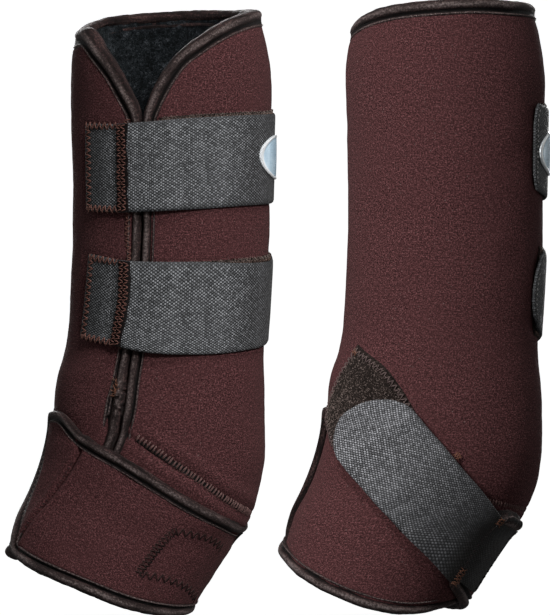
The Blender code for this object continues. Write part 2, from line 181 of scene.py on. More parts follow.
class Boot:
    def __init__(self, prefix, side, x, z):
        self.prefix, self.side, self.place = prefix, side, np.array([x, 0.0, z])

    def at(self, angle, station, offset):
        """Points of the surface, in mm, in the frame of the pair."""
        angle, station, offset = np.broadcast_arrays(*(np.asarray(v, float) for v in (angle, station, offset)))
        row = curve(PROFILE, station.ravel())
        front, back, half = row[:, 0:2], row[:, 2:4], row[:, 4]
        middle = (front + back) / 2
        reach = np.linalg.norm(front - middle, axis=1)
        along = (front - middle) / reach[:, None]
        a, d = np.radians(angle.ravel()), offset.ravel()
        if self.side < 0:
            # this one stands a little fuller at the back of the fetlock and slimmer in front of the cannon
            t, ahead = station.ravel(), np.cos(a)
            d = d + 2.0 * bump(t, 5.6, 9.3, 0.9) * np.clip(-ahead, 0, 1) - 0.9 * (1 - ramp(t, 4.6, 6.6)) * np.clip(ahead, 0, 1)
        turn = lambda mid: np.exp(-(((angle.ravel() - mid + 180) % 360 - 180) / 26) ** 2)
        d = d - 1.35 * (turn(0) + turn(180)) * (1 - ramp(station.ravel() - self.rim(angle.ravel()), -0.1, 0.45))
        flat = middle + ((reach + d) * np.cos(a))[:, None] * along
        y = -self.side * (half + d) * np.sin(a)
        points = np.stack([flat[:, 0], y, flat[:, 1]], axis=1) + self.place
        return points.reshape(angle.shape + (3,))

    def rim(self, angle):
        """The top edge: a little lower in front, higher behind."""
        return line(RIM, angle) + 0.06 * np.cos(np.radians(angle))

    def hem(self, angle):
        lift = 0.09 * bump(np.asarray(angle) % 360, 6, 95, 14)
        inner = bump(np.asarray(angle) % 360, 235, 350, 14)
        front = np.clip(1 - np.abs((np.asarray(angle) + 180) % 360 - 180) / 14, 0, 1)
        return line(BOTTOM, angle) - lift + (0.06 if self.side < 0 else -0.22) * inner + 0.12 * front

    def sling_hem(self, angle):
        corner = np.clip(1 - (np.asarray(angle) - SLING_FRONT) / 11, 0, 1) ** 2.5
        return line(SLING_BOTTOM, angle) - 0.115 * bump(angle, 8, 100, 22) - 0.30 * corner

    def sling_top(self, angle):
        corner = np.clip(1 - (np.asarray(angle) - SLING_FRONT) / 15, 0, 1) ** 2.5
        return line(SLING_TOP, angle) + 0.62 * corner - 0.40 * np.exp(-(((np.asarray(angle) - 30) / 11) ** 2))

    def metric(self, angle, station):
        e = 1e-3
        pa = (self.at(angle + e, station, 0) - self.at(angle - e, station, 0)) / (2 * e)
        ps = (self.at(angle, station + e, 0) - self.at(angle, station - e, 0)) / (2 * e)
        return (pa * pa).sum(-1), (pa * ps).sum(-1), (ps * ps).sum(-1)

    def aside(self, path, shift, closed=False):
        """The path of (angle, station) moved sideways within the surface by shift mm."""
        path = np.asarray(path, float)
        if closed:
            step = np.roll(path, -1, axis=0) - np.roll(path, 1, axis=0)
        else:
            step = np.gradient(path, axis=0)
        aa, mix, ss = self.metric(path[:, 0], path[:, 1])
        ga, gs = aa * step[:, 0] + mix * step[:, 1], mix * step[:, 0] + ss * step[:, 1]
        out = np.stack([gs, -ga], axis=1)
        length = np.sqrt(aa * out[:, 0] ** 2 + 2 * mix * out[:, 0] * out[:, 1] + ss * out[:, 1] ** 2)
        return path + out / length[:, None] * np.broadcast_to(np.asarray(shift, float), len(path))[:, None]

    def even(self, path, step, closed=False):
        """The path with points every step mm along the surface."""
        path = np.asarray(path, float)
        if closed:
            path = np.concatenate([path, path[:1]])
        way = np.concatenate([[0], np.cumsum(np.linalg.norm(np.diff(self.at(path[:, 0], path[:, 1], 0), axis=0), axis=1))])
        n = max(3, int(round(way[-1] / step)))
        there = np.linspace(0, way[-1], n + 1)[: n if closed else n + 1]
        return np.stack([np.interp(there, way, path[:, 0]), np.interp(there, way, path[:, 1])], axis=1)

    def lengths(self, path):
        points = self.at(path[:, 0], path[:, 1], 0)
        return np.concatenate([[0], np.cumsum(np.linalg.norm(np.diff(points, axis=0), axis=1))])


class Build:
    """Gathers parts of one piece: points in mm, faces, and a map of the surface in mm that the weaves follow."""

    def __init__(self, name, boot=None):
        self.name = (boot.prefix if boot else "") + name
        self.points, self.faces, self.maps, self.count = [], [], [], 0

    def add(self, points):
        points = np.asarray(points, float)
        self.points.append(points.reshape(-1, 3))
        self.count += points.size // 3
        return np.arange(self.count - points.size // 3, self.count).reshape(points.shape[:-1])

    def put(self, faces, maps):
        """Faces (n, k) with their places on the map (n, k, 2)."""
        self.faces.append(np.asarray(faces, int))
        self.maps.append(np.asarray(maps, float))

    def grid(self, points, u, v, ring=False, flip=False):
        """Quads over points (m, n, 3); with ring the last column joins the first. u and v are (m, n), or (m, n + 1) on a ring."""
        m, n = points.shape[:2]
        wide = n if ring else n - 1
        index = self.add(points)
        i, j = np.meshgrid(np.arange(m - 1), np.arange(wide), indexing="ij")
        corners = [(i, j), (i + 1, j), (i + 1, j + 1), (i, j + 1)]
        if flip:
            corners.reverse()
        u, v = np.broadcast_to(u, (m, wide + 1)), np.broadcast_to(v, (m, wide + 1))
        faces = np.stack([index[a, b % n] for a, b in corners], axis=-1).reshape(-1, 4)
        self.put(faces, np.stack([np.stack([u[a, b], v[a, b]], axis=-1) for a, b in corners], axis=-2).reshape(-1, 4, 2))
        return index

    def face(self, corners, at=(0.0, 0.0)):
        self.put([list(corners)], np.broadcast_to(np.asarray(at, float), (1, len(corners), 2)))

    def strip(self, a, b, u, v=(0.0, 1.0)):
        """Quads between two rows of points that exist."""
        n = len(a) - 1
        low, high = np.full(n, v[0]), np.full(n, v[1])
        maps = [np.stack(pair, axis=1) for pair in ((u[:-1], low), (u[1:], low), (u[1:], high), (u[:-1], high))]
        self.put(np.stack([a[:-1], a[1:], b[1:], b[:-1]], axis=1), np.stack(maps, axis=1))

    def outwards(self, first):
        """Turns the closed part that starts at that list of faces so that it faces outwards."""
        points = np.concatenate(self.points)
        volume = 0.0
        for faces in self.faces[first:]:
            p = points[faces] - points[self.faces[first][0, 0]]
            for k in range(1, faces.shape[1] - 1):
                volume += np.einsum("ij,ij->", p[:, 0], np.cross(p[:, k], p[:, k + 1]))
        if volume < 0:
            for k in range(first, len(self.faces)):
                self.faces[k], self.maps[k] = self.faces[k][:, ::-1], self.maps[k][:, ::-1]

    def slab(self, outer, inner, u, v):
        """A closed sheet between two grids of points."""
        first = len(self.faces)
        a = self.grid(outer, u, v)
        b = self.grid(inner, u, v, flip=True)
        for row, back, along in (
            (a[0], b[0], v[0]), (a[-1][::-1], b[-1][::-1], v[-1][::-1]),
            (a[::-1, 0], b[::-1, 0], u[::-1, 0]), (a[:, -1], b[:, -1], u[:, -1]),
        ):
            self.strip(row, back, along)
        self.outwards(first)

    def loft(self, rings, u=None, v=None, closed=False):
        """A tube through rings (m, k, 3) of closed sections."""
        m, k = rings.shape[:2]
        if u is None:
            u = np.concatenate([[0], np.cumsum(np.linalg.norm(np.diff(rings.mean(axis=1), axis=0), axis=1))])
        if v is None:
            whole = np.concatenate([rings, rings[:, :1]], axis=1)
            v = np.concatenate([np.zeros((m, 1)), np.cumsum(np.linalg.norm(np.diff(whole, axis=1), axis=2), axis=1)], axis=1)
        u = np.broadcast_to(np.asarray(u, float)[:, None] if np.ndim(u) == 1 else u, (m, k + 1))
        first = len(self.faces)
        index = self.grid(rings, u, v, ring=True)
        if closed:
            extra = u[-1] + np.linalg.norm(rings[0].mean(axis=0) - rings[-1].mean(axis=0))
            a, b = np.append(index[-1], index[-1, 0]), np.append(index[0], index[0, 0])
            maps = [np.stack(pair, axis=1) for pair in ((u[-1, :-1], v[-1, :-1]), (extra[:-1], v[0, :-1]), (extra[1:], v[0, 1:]), (u[-1, 1:], v[-1, 1:]))]
            self.put(np.stack([a[:-1], b[:-1], b[1:], a[1:]], axis=1), np.stack(maps, axis=1))
        else:
            self.face(index[0], (u[0, 0], 0.0))
            self.face(index[-1][::-1], (u[-1, 0], 0.0))
        self.outwards(first)
        return index

    def threads(self, rings):
        """Many short tubes at once: rings (n, m, k, 3)."""
        n, m, k = rings.shape[:3]
        index = self.add(rings)
        i, j = np.meshgrid(np.arange(m - 1), np.arange(k), indexing="ij")
        corners = [(i, j), (i + 1, j), (i + 1, j + 1), (i, j + 1)]
        faces = np.stack([index[:, a, b % k] for a, b in corners], axis=-1)
        middle = rings.mean(axis=2)
        length = np.concatenate([np.zeros((n, 1)), np.cumsum(np.linalg.norm(np.diff(middle, axis=1), axis=2), axis=1)], axis=1)
        length = length + (np.arange(n) * 7.3 % 61)[:, None]
        round_ = np.linalg.norm(rings[:, m // 2, 0] - middle[:, m // 2], axis=1)
        around = (round_[:, None] * np.linspace(0, 2 * np.pi, k + 1)[None, :]) + (np.arange(n) * 3.7 % 47)[:, None]
        maps = np.stack([np.stack([length[:, a], around[:, b]], axis=-1) for a, b in corners], axis=-2)
        caps = [index[:, 0], index[:, -1][:, ::-1]]
        # each tube is turned to face outwards
        p = rings[:, :-1] - middle[:, :1, None]
        q = np.roll(p, -1, axis=2)
        r = rings[:, 1:] - middle[:, :1, None]
        out = np.einsum("nmkc,nmkc->n", p, np.cross(r, np.roll(r, -1, axis=2))) + np.einsum("nmkc,nmkc->n", p, np.cross(np.roll(r, -1, axis=2), q))
        for turned in (False, True):
            pick = (out < 0) == turned
            if not pick.any():
                continue
            f, g = faces[pick].reshape(-1, 4), maps[pick].reshape(-1, 4, 2)
            ends = [np.concatenate([cap[pick] for cap in caps])]
            flat = np.zeros((len(ends[0]), k, 2))
            self.put(f[:, ::-1] if turned else f, g[:, ::-1] if turned else g)
            self.put(ends[0][:, ::-1] if turned else ends[0], flat)

    def object(self, material, sharp=38.0):
        mesh = bpy.data.meshes.new(self.name)
        faces = [face for part in self.faces for face in part.tolist()]
        mesh.from_pydata((np.concatenate(self.points) / 1000).tolist(), [], faces)
        layer = mesh.uv_layers.new(name="weave")
        layer.uv.foreach_set("vector", np.concatenate([part.reshape(-1, 2) for part in self.maps]).astype(np.float32).ravel())
        mesh.shade_smooth()
        mesh.set_sharp_from_angle(angle=math.radians(sharp))
        mesh.materials.append(material)
        obj = bpy.data.objects.new(self.name, mesh)
        bpy.context.scene.collection.objects.link(obj)
        return obj


# ---- materials -------------------------------------------------------------------------------------------------
class Nodes:
    """A material's node tree, written as calls. The weave map gives places on the surface in mm."""

    def __init__(self, name, roughness, sheen=0.0, sheen_rough=0.5, specular=0.3, sheen_tint=(1, 1, 1), metallic=0.0, coat=0.0):
        self.material = bpy.data.materials.new(name)
        self.material.use_nodes = True
        self.tree = self.material.node_tree
        self.shader = self.tree.nodes["Principled BSDF"]
        for socket, value in (("Roughness", roughness), ("Sheen Weight", sheen), ("Sheen Roughness", sheen_rough), ("Specular IOR Level", specular), ("Metallic", metallic), ("Coat Weight", coat)):
            self.shader.inputs[socket].default_value = value
        self.shader.inputs["Sheen Tint"].default_value = (*sheen_tint, 1)
        uv = self.tree.nodes.new("ShaderNodeUVMap")
        uv.uv_map = "weave"
        self.uv = uv.outputs["UV"]

    def set(self, socket, value):
        if isinstance(value, bpy.types.NodeSocket):
            self.tree.links.new(value, socket)
        else:
            socket.default_value = value

    def math(self, kind, a, b=0.0, c=0.0, clamp=False):
        node = self.tree.nodes.new("ShaderNodeMath")
        node.operation, node.use_clamp = kind, clamp
        for socket, value in zip(node.inputs, (a, b, c)):
            self.set(socket, value)
        return node.outputs[0]

    def place(self, scale=(1, 1, 1), turn=0.0, vector=None):
        node = self.tree.nodes.new("ShaderNodeMapping")
        node.inputs["Scale"].default_value = scale
        node.inputs["Rotation"].default_value = (0, 0, math.radians(turn))
        self.set(node.inputs["Vector"], self.uv if vector is None else vector)
        return node.outputs[0]

    def noise(self, scale, detail=2.0, rough=0.55, vector=None, distortion=0.0):
        node = self.tree.nodes.new("ShaderNodeTexNoise")
        node.inputs["Scale"].default_value = scale
        node.inputs["Detail"].default_value = detail
        node.inputs["Roughness"].default_value = rough
        node.inputs["Distortion"].default_value = distortion
        self.set(node.inputs["Vector"], self.uv if vector is None else vector)
        return node.outputs["Fac"]

    def cells(self, scale, vector=None, feature="F1", random=1.0):
        node = self.tree.nodes.new("ShaderNodeTexVoronoi")
        node.feature = feature
        node.inputs["Scale"].default_value = scale
        node.inputs["Randomness"].default_value = random
        self.set(node.inputs["Vector"], self.uv if vector is None else vector)
        return node.outputs["Distance"]

    def waves(self, scale, turn=0.0, distortion=0.0, profile="SIN", vector=None, detail_scale=1.0):
        node = self.tree.nodes.new("ShaderNodeTexWave")
        node.wave_profile = profile
        node.inputs["Scale"].default_value = scale
        node.inputs["Distortion"].default_value = distortion
        node.inputs["Detail"].default_value = 1.0
        node.inputs["Detail Scale"].default_value = detail_scale
        self.set(node.inputs["Vector"], self.place((1, 1, 1), turn, vector))
        return node.outputs["Fac"]

    def parts(self, vector=None):
        node = self.tree.nodes.new("ShaderNodeSeparateXYZ")
        self.set(node.inputs[0], self.uv if vector is None else vector)
        return node.outputs[0], node.outputs[1]

    def range(self, value, low, high, to_low=0.0, to_high=1.0):
        node = self.tree.nodes.new("ShaderNodeMapRange")
        for key, x in (("From Min", low), ("From Max", high), ("To Min", to_low), ("To Max", to_high)):
            node.inputs[key].default_value = x
        self.set(node.inputs["Value"], value)
        return node.outputs[0]

    def colours(self, value, *stops):
        node = self.tree.nodes.new("ShaderNodeValToRGB")
        ramp_ = node.color_ramp
        while len(ramp_.elements) < len(stops):
            ramp_.elements.new(0.5)
        for element, (where, colour) in zip(ramp_.elements, stops):
            element.position, element.color = where, (*colour, 1)
        self.set(node.inputs["Fac"], value)
        return node.outputs["Color"]

    def mix(self, share, a, b, kind="MIX"):
        node = self.tree.nodes.new("ShaderNodeMix")
        node.data_type, node.blend_type = "RGBA", kind
        for socket, value in ((node.inputs[0], share), (node.inputs[6], a), (node.inputs[7], b)):
            self.set(socket, (*value, 1) if isinstance(value, tuple) and len(value) == 3 else value)
        return node.outputs[2]

    def relief(self, height, distance, strength=1.0, normal=None):
        """distance in mm"""
        node = self.tree.nodes.new("ShaderNodeBump")
        node.inputs["Strength"].default_value = strength
        node.inputs["Distance"].default_value = distance / 1000
        self.set(node.inputs["Height"], height)
        if normal is not None:
            self.set(node.inputs["Normal"], normal)
        return node.outputs[0]

    def done(self, colour, rough=None, normal=None):
        self.set(self.shader.inputs["Base Color"], colour)
        if rough is not None:
            self.set(self.shader.inputs["Roughness"], rough)
        if normal is not None:
            self.set(self.shader.inputs["Normal"], normal)
        return self.material


def shade(colour, by):
    return tuple(c * by for c in colour)


def neoprene_look(name, base):
    """Nylon jersey on foam: a fine knit with a felted surface, flecked lighter and darker."""
    n = Nodes(name, 0.94, sheen=0.03, sheen_rough=0.6, specular=0.08, sheen_tint=(0.9, 0.55, 0.52))
    knit = n.math("MULTIPLY", n.waves(0.42, 0.0, 1.2), n.waves(0.36, 90.0, 1.5))
    grain = n.noise(1.25, 2.0, 0.80)
    fleck = n.noise(0.50, 2.0, 0.70, n.place((1, 1, 1), 20.0))
    cloud = n.noise(0.030, 3.0, 0.6)
    mottle = n.math("ADD", n.math("MULTIPLY", grain, 0.78), n.math("MULTIPLY", fleck, 0.22))
    tone = n.colours(n.range(mottle, 0.355, 0.645), (0.0, shade(base, 0.08)), (0.38, shade(base, 0.68)), (0.62, shade(base, 1.24)), (1.0, (base[0] * 3.2, base[1] * 3.5, base[2] * 3.5)))
    # paler clouds at random over the neoprene: wear
    wear_and_painted_highlight = n.mix(n.range(cloud, 0.35, 0.70, 0.0, 0.35), tone, shade(base, 1.05))
    lint = n.range(n.noise(0.75, 1.0, 0.5, n.place((1, 1, 1), 31.0)), 0.69, 0.77)
    colour = n.mix(n.math("MULTIPLY", lint, 0.35), wear_and_painted_highlight, (0.26, 0.19, 0.18))
    height = n.math("ADD", n.math("MULTIPLY", knit, 0.35), n.math("MULTIPLY", mottle, 1.3))
    return n.done(colour, n.range(fleck, 0.3, 0.7, 0.86, 0.98), n.relief(height, 0.34, 0.7))


def lining_look():
    n = Nodes("lining_pile", 0.95, sheen=0.10, sheen_rough=0.45, specular=0.10, sheen_tint=(0.55, 0.66, 0.72))
    curl = n.noise(0.62, 4.0, 0.80, distortion=1.2)
    tuft = n.noise(0.16, 2.0, 0.6)
    mixed = n.math("ADD", n.math("MULTIPLY", curl, 0.72), n.math("MULTIPLY", tuft, 0.28))
    tone = n.colours(n.range(mixed, 0.37, 0.65), (0.0, (0.0006, 0.0008, 0.0010)), (0.42, (0.0030, 0.0038, 0.0044)), (0.70, (0.017, 0.020, 0.023)), (1.0, (0.085, 0.090, 0.100)))
    return n.done(tone, n.range(curl, 0.3, 0.7, 0.88, 0.98), n.relief(mixed, 1.6, 0.9))


def binding_look(name="binding_tape", base=(0.0205, 0.0102, 0.0096)):
    """Folded knit tape: fine ribs across its run, a slight sheen, painted shade in its groove, and painted highlights
    along the ridge's top and the roll's crest.
    """
    n = Nodes(name, 0.62, sheen=0.02, sheen_rough=0.35, specular=0.20, sheen_tint=(0.85, 0.60, 0.55))
    ribs = n.waves(0.50, 0.0, 0.9)
    across = n.waves(0.62, 90.0, 1.1)
    fine = n.noise(0.80, 2.0, 0.85)
    long = n.noise(0.16, 3.0, 0.6, n.place((0.35, 1.6, 1)))
    tone = n.colours(n.range(n.math("ADD", n.math("MULTIPLY", fine, 0.6), n.math("MULTIPLY", long, 0.4)), 0.40, 0.61), (0.0, shade(base, 0.10)), (0.40, shade(base, 0.62)), (0.66, shade(base, 1.9)), (1.0, (base[0] * 6.0, base[1] * 6.8, base[2] * 6.8)))
    colour = n.mix(n.range(n.math("MULTIPLY", ribs, across), 0.0, 0.5, 0.30, 0.0), tone, shade(base, 0.35))
    _, v = n.parts()
    wear_and_painted_highlight = n.colours(n.range(fine, 0.40, 0.60), (0.0, (0.026, 0.016, 0.015)), (0.5, (0.098, 0.070, 0.067)), (1.0, (0.33, 0.275, 0.265)))
    crest_painted_highlight = n.colours(n.range(n.math("ADD", n.math("MULTIPLY", fine, 0.55), n.math("MULTIPLY", long, 0.45)), 0.38, 0.62), (0.0, (0.020, 0.0115, 0.0105)), (0.45, (0.070, 0.049, 0.046)), (1.0, (0.265, 0.215, 0.205)))
    # a pale speckled line along the ridge's top: painted highlight
    colour = n.mix(n.range(n.math("ABSOLUTE", n.math("SUBTRACT", v, 1.4)), 0.12, 0.55, 0.62, 0.0), colour, wear_and_painted_highlight)
    # a paler speckled band along the roll's crest: painted highlight
    colour = n.mix(n.range(n.math("ABSOLUTE", n.math("SUBTRACT", v, 7.0)), 0.3, 2.3, 0.85, 0.0), colour, crest_painted_highlight)
    # a near-black band over the groove between the ridge and the roll: painted shade
    colour = n.mix(n.range(n.math("ABSOLUTE", n.math("SUBTRACT", v, 3.2)), 0.80, 1.45, 0.95, 0.0), colour, (0.0020, 0.0012, 0.0011))
    height = n.math("ADD", n.math("MULTIPLY", n.math("ADD", ribs, across), 0.35), n.math("ADD", n.math("MULTIPLY", fine, 0.5), n.math("MULTIPLY", long, 0.8)))
    return n.done(colour, n.range(fine, 0.3, 0.7, 0.50, 0.75), n.relief(height, 0.60, 0.9))


def webbing_look(name, width, lean, painted_shade_spans, base=(0.102, 0.1045, 0.110), count=0.85, rows=0.66, painted_shade_tints=()):
    """A twill of thick threads: short slanting floats in columns, each catching the light differently, darker at its
    selvedges, with painted shade over given spans along it.
    """
    n = Nodes(name, 0.55, sheen=0.05, sheen_rough=0.4, specular=0.32)
    u, v = n.parts()
    column = n.math("FLOOR", n.math("MULTIPLY", u, count))
    slope = n.math("ADD", n.math("MULTIPLY", v, rows), n.math("MULTIPLY", u, lean))
    slope = n.math("ADD", slope, n.math("MULTIPLY", n.math("MODULO", column, 2.0), 0.5))
    row = n.math("FLOOR", slope)
    floats = n.math("PINGPONG", slope, 0.5)
    ribs = n.math("PINGPONG", n.math("MULTIPLY", u, count), 0.5)
    twill = n.math("MULTIPLY", n.range(floats, 0.06, 0.40), n.range(ribs, 0.02, 0.28, 0.45, 1.0))
    cell = n.tree.nodes.new("ShaderNodeCombineXYZ")
    n.set(cell.inputs[0], column)
    n.set(cell.inputs[1], row)
    spark = n.tree.nodes.new("ShaderNodeTexWhiteNoise")
    spark.noise_dimensions = "2D"
    n.set(spark.inputs["Vector"], cell.outputs[0])
    fine = n.noise(1.1, 2.0, 0.75)
    bands = n.noise(0.10, 2.0, 0.5, n.place((1.0, 0.05, 1)))
    cloud = n.noise(0.05, 3.0, 0.6)
    level = n.math("ADD", n.math("MULTIPLY", n.math("MULTIPLY", twill, n.range(spark.outputs["Value"], 0.0, 1.0, 0.50, 1.24)), 0.60), n.math("ADD", n.math("MULTIPLY", fine, 0.40), n.math("ADD", n.math("MULTIPLY", bands, 0.26), n.math("MULTIPLY", cloud, 0.06))))
    tone = n.colours(n.range(level, 0.36, 0.98), (0.0, shade(base, 0.10)), (0.35, shade(base, 0.62)), (0.66, shade(base, 1.30)), (1.0, shade(base, 2.6)))
    edge = n.math("MINIMUM", v, n.math("SUBTRACT", width, v))
    rim = n.range(n.math("ADD", edge, n.math("MULTIPLY", fine, 1.2)), 0.9, 3.4, 0.62, 0.0)
    colour = n.mix(rim, tone, shade(base, 0.34))
    # painted shade: darker over each given span along the strap, at its sewn parts and where it turns away from the
    # light
    for low, high, much in painted_shade_spans:
        colour = n.mix(n.range(u, low, high, 0.0, much), colour, shade(base, 0.10))
    # painted shade in a given colour over given spans: the dark brown over the fetlock strap's sewn base
    for low, high, much, dark in painted_shade_tints:
        colour = n.mix(n.range(u, low, high, 0.0, much), colour, dark)
    height = n.math("ADD", twill, n.math("MULTIPLY", fine, 0.45))
    return n.done(colour, n.range(level, 0.4, 1.2, 0.68, 0.42), n.relief(height, 0.42, 0.85))


def loop_look(name, base, pale):
    """Brushed loops: a tangled pile with bright ends."""
    n = Nodes(name, 0.95, sheen=0.06, sheen_rough=0.5, specular=0.10, sheen_tint=(0.8, 0.7, 0.6))
    tangle = n.noise(0.70, 3.0, 0.75, distortion=2.2)
    curls = n.cells(1.1, n.place((1, 1, 1)), "F1")
    cloud = n.noise(0.10, 2.0, 0.5)
    mixed = n.math("ADD", n.math("MULTIPLY", tangle, 0.75), n.math("ADD", n.math("MULTIPLY", curls, 0.20), n.math("MULTIPLY", cloud, 0.15)))
    tone = n.colours(n.range(mixed, 0.32, 0.82), (0.0, shade(base, 0.08)), (0.40, shade(base, 0.55)), (0.68, shade(base, 2.0)), (1.0, pale))
    return n.done(tone, None, n.relief(mixed, 0.8, 0.9))


def thread_look(name, base):
    """A twisted thread."""
    n = Nodes(name, 0.62, sheen=0.0, specular=0.18)
    twist = n.waves(0.55, 38.0, 0.3)
    fine = n.noise(0.9, 2.0, 0.6)
    tone = n.colours(n.range(n.math("ADD", n.math("MULTIPLY", twist, 0.5), n.math("MULTIPLY", fine, 0.6)), 0.2, 0.9), (0.0, shade(base, 0.30)), (0.55, base), (1.0, shade(base, 2.0)))
    return n.done(tone, None, n.relief(twist, 0.12, 0.7))


def badge_look():
    """A plain plate with a soft half-gloss: brushed, a little cloudy, with fine handling marks."""
    n = Nodes("badge_plate", 0.35, specular=0.5, metallic=0.10, coat=0.25)
    brushed = n.noise(0.9, 3.0, 0.6, n.place((0.12, 2.2, 1)))
    cloud = n.noise(0.10, 3.0, 0.6)
    tone = n.colours(n.range(n.math("ADD", n.math("MULTIPLY", brushed, 0.45), n.math("MULTIPLY", cloud, 0.6)), 0.30, 0.75), (0.0, (0.33, 0.51, 0.66)), (0.5, (0.47, 0.67, 0.81)), (1.0, (0.68, 0.84, 0.94)))
    u, v = n.parts()
    out = n.math("ADD", n.math("POWER", n.math("DIVIDE", u, BADGE[2]), 2.0), n.math("POWER", n.math("DIVIDE", v, BADGE[3]), 2.0))
    tone = n.mix(n.range(out, 0.74, 0.80), tone, (0.86, 0.90, 0.92))
    return n.done(tone, n.range(brushed, 0.3, 0.7, 0.24, 0.42), n.relief(brushed, 0.03, 0.4))


NEOPRENE = neoprene_look("neoprene_shell", (0.066, 0.0245, 0.0255))
PILE = lining_look()
TAPE = binding_look()
# the cannon straps, with painted shade over their first few mm, their sewn ends and their far ends, which turn to the
# back
WEB = webbing_look("webbing_twill", 47.0, 0.02, ((6.5, 3.0, 0.80), (25, 11, 0.60), (88, 124, 0.66)), (0.122, 0.1255, 0.132))
LOOP = loop_look("loop_pile", (0.017, 0.0118, 0.0102), (0.10, 0.076, 0.064))
CURLS = thread_look("loop_curls", (0.165, 0.125, 0.110))
HOOK = thread_look("hook_tape", (0.022, 0.023, 0.025))
# the fetlock strap, with painted shade growing from its tip towards its base and a dark brown painted shade over its
# sewn base
WEB_FINE = webbing_look("webbing_fine", 50.0, -0.06, ((112, 52, 0.60), (62, 6, 0.66)), (0.165, 0.166, 0.176), 0.86, 0.69, ((40, 32, 0.80, (0.0085, 0.0068, 0.0055)),))
LADDER = thread_look("thread_ladder", (0.115, 0.062, 0.057))
RUST_DIM = thread_look("thread_rust_dim", (0.030, 0.012, 0.009))
PALE_RUST = thread_look("thread_pale_rust", (0.090, 0.058, 0.047))
RUST = thread_look("thread_rust", (0.125, 0.056, 0.044))
# a lighter rust thread for the splice, the patch corners and the strap bars: partly the thread's own colour, partly
# painted light where they face away from the lamps
RUST_BRIGHT = thread_look("thread_rust_bright", (0.170, 0.074, 0.046))
TAPE_THREAD = thread_look("thread_binding", (0.112, 0.078, 0.073))
# near-black, for painted shade: the seam's channel, a strip under the stitching column on the straps, and shadows under
# the sling's box stitches
PAINTED_SHADE = thread_look("seam_groove", (0.0050, 0.0028, 0.0026))
BROWN = thread_look("thread_brown", (0.050, 0.022, 0.020))
DARK = thread_look("thread_dark", (0.014, 0.010, 0.010))
GREY = thread_look("thread_grey", (0.16, 0.155, 0.150))
PLATE = badge_look()


# ---- the wrap ---------------------------------------------------------------------------------------------------
SKIN = SHELL + GAP + LINING


def place(obj, boot, body, slot, *nodes):
    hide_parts(*(boot.prefix + n for n in nodes))
    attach(obj, body if body == "boots" else boot.prefix + body)
    return obj


def bend(obj, boot, slot, a, b, start, end, *nodes):
    """A piece of fabric across a joint: hides its CAD parts and bakes its placement. start and end are (angle, station,
    offset); the points made from them are not used.
    """
    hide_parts(*(boot.prefix + n for n in nodes))
    here = [(boot.at(*p) / 1000).tolist() for p in (start, end)]
    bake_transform(obj)
    return obj


def columns(n, close=0.0):
    """Angles round the leg from one cut edge of the slit to the other, closer together beside it."""
    share = np.linspace(0, 1, n + 1)
    rough = 73 + SLIT_HALF + close + (share - 0.45 * np.sin(2 * np.pi * share) / (2 * np.pi)) * (360 - 2 * (SLIT_HALF + close))
    return share, rough


def follow(share, rough, station):
    pull = np.clip(1 - np.minimum(share, 1 - share) / 0.13, 0, 1)
    return rough[:, None] + pull[:, None] * (line(SLIT, station) - 73)


def under_straps(angle, station):
    """1 where a strap presses on the shell."""
    total = np.zeros(angle.shape)
    for edges, tip in ((UPPER_EDGES, UPPER_TIP), (LOWER_EDGES, LOWER_TIP)):
        top, low = line(edges[0], np.clip(angle, 30, 214)), line(edges[1], np.clip(angle, 30, 214))
        total += bump(station, top + 0.05, low - 0.05, 0.11) * bump(angle, 30, tip - 3, 4)
    return total


def gathered(station):
    """How much broader the front edge's tape is below its splice."""
    return 0.65 * bump(station, 6.2, 8.6, 0.5)


def rim_cover(boot, angle):
    """How broad the rim's tape is; on one boot more in front and behind."""
    turn = lambda mid: np.exp(-((((np.asarray(angle) - mid + 180) % 360 - 180) / 22) ** 2))
    return 1.18 + 0.62 * turn(8) + 0.20 * turn(180) if boot.side > 0 else 1.10 + 0 * turn(0)


def off_edge(points, down):
    """Square distance from the first row of a grid, from the distance down its columns."""
    along, away = np.gradient(points[:, 0], axis=0), points[:, 1] - points[:, 0]
    dot = np.sum(along * away, axis=1) / np.linalg.norm(along, axis=1) / np.linalg.norm(away, axis=1)
    return down * np.sqrt(1 - dot ** 2)[:, None]


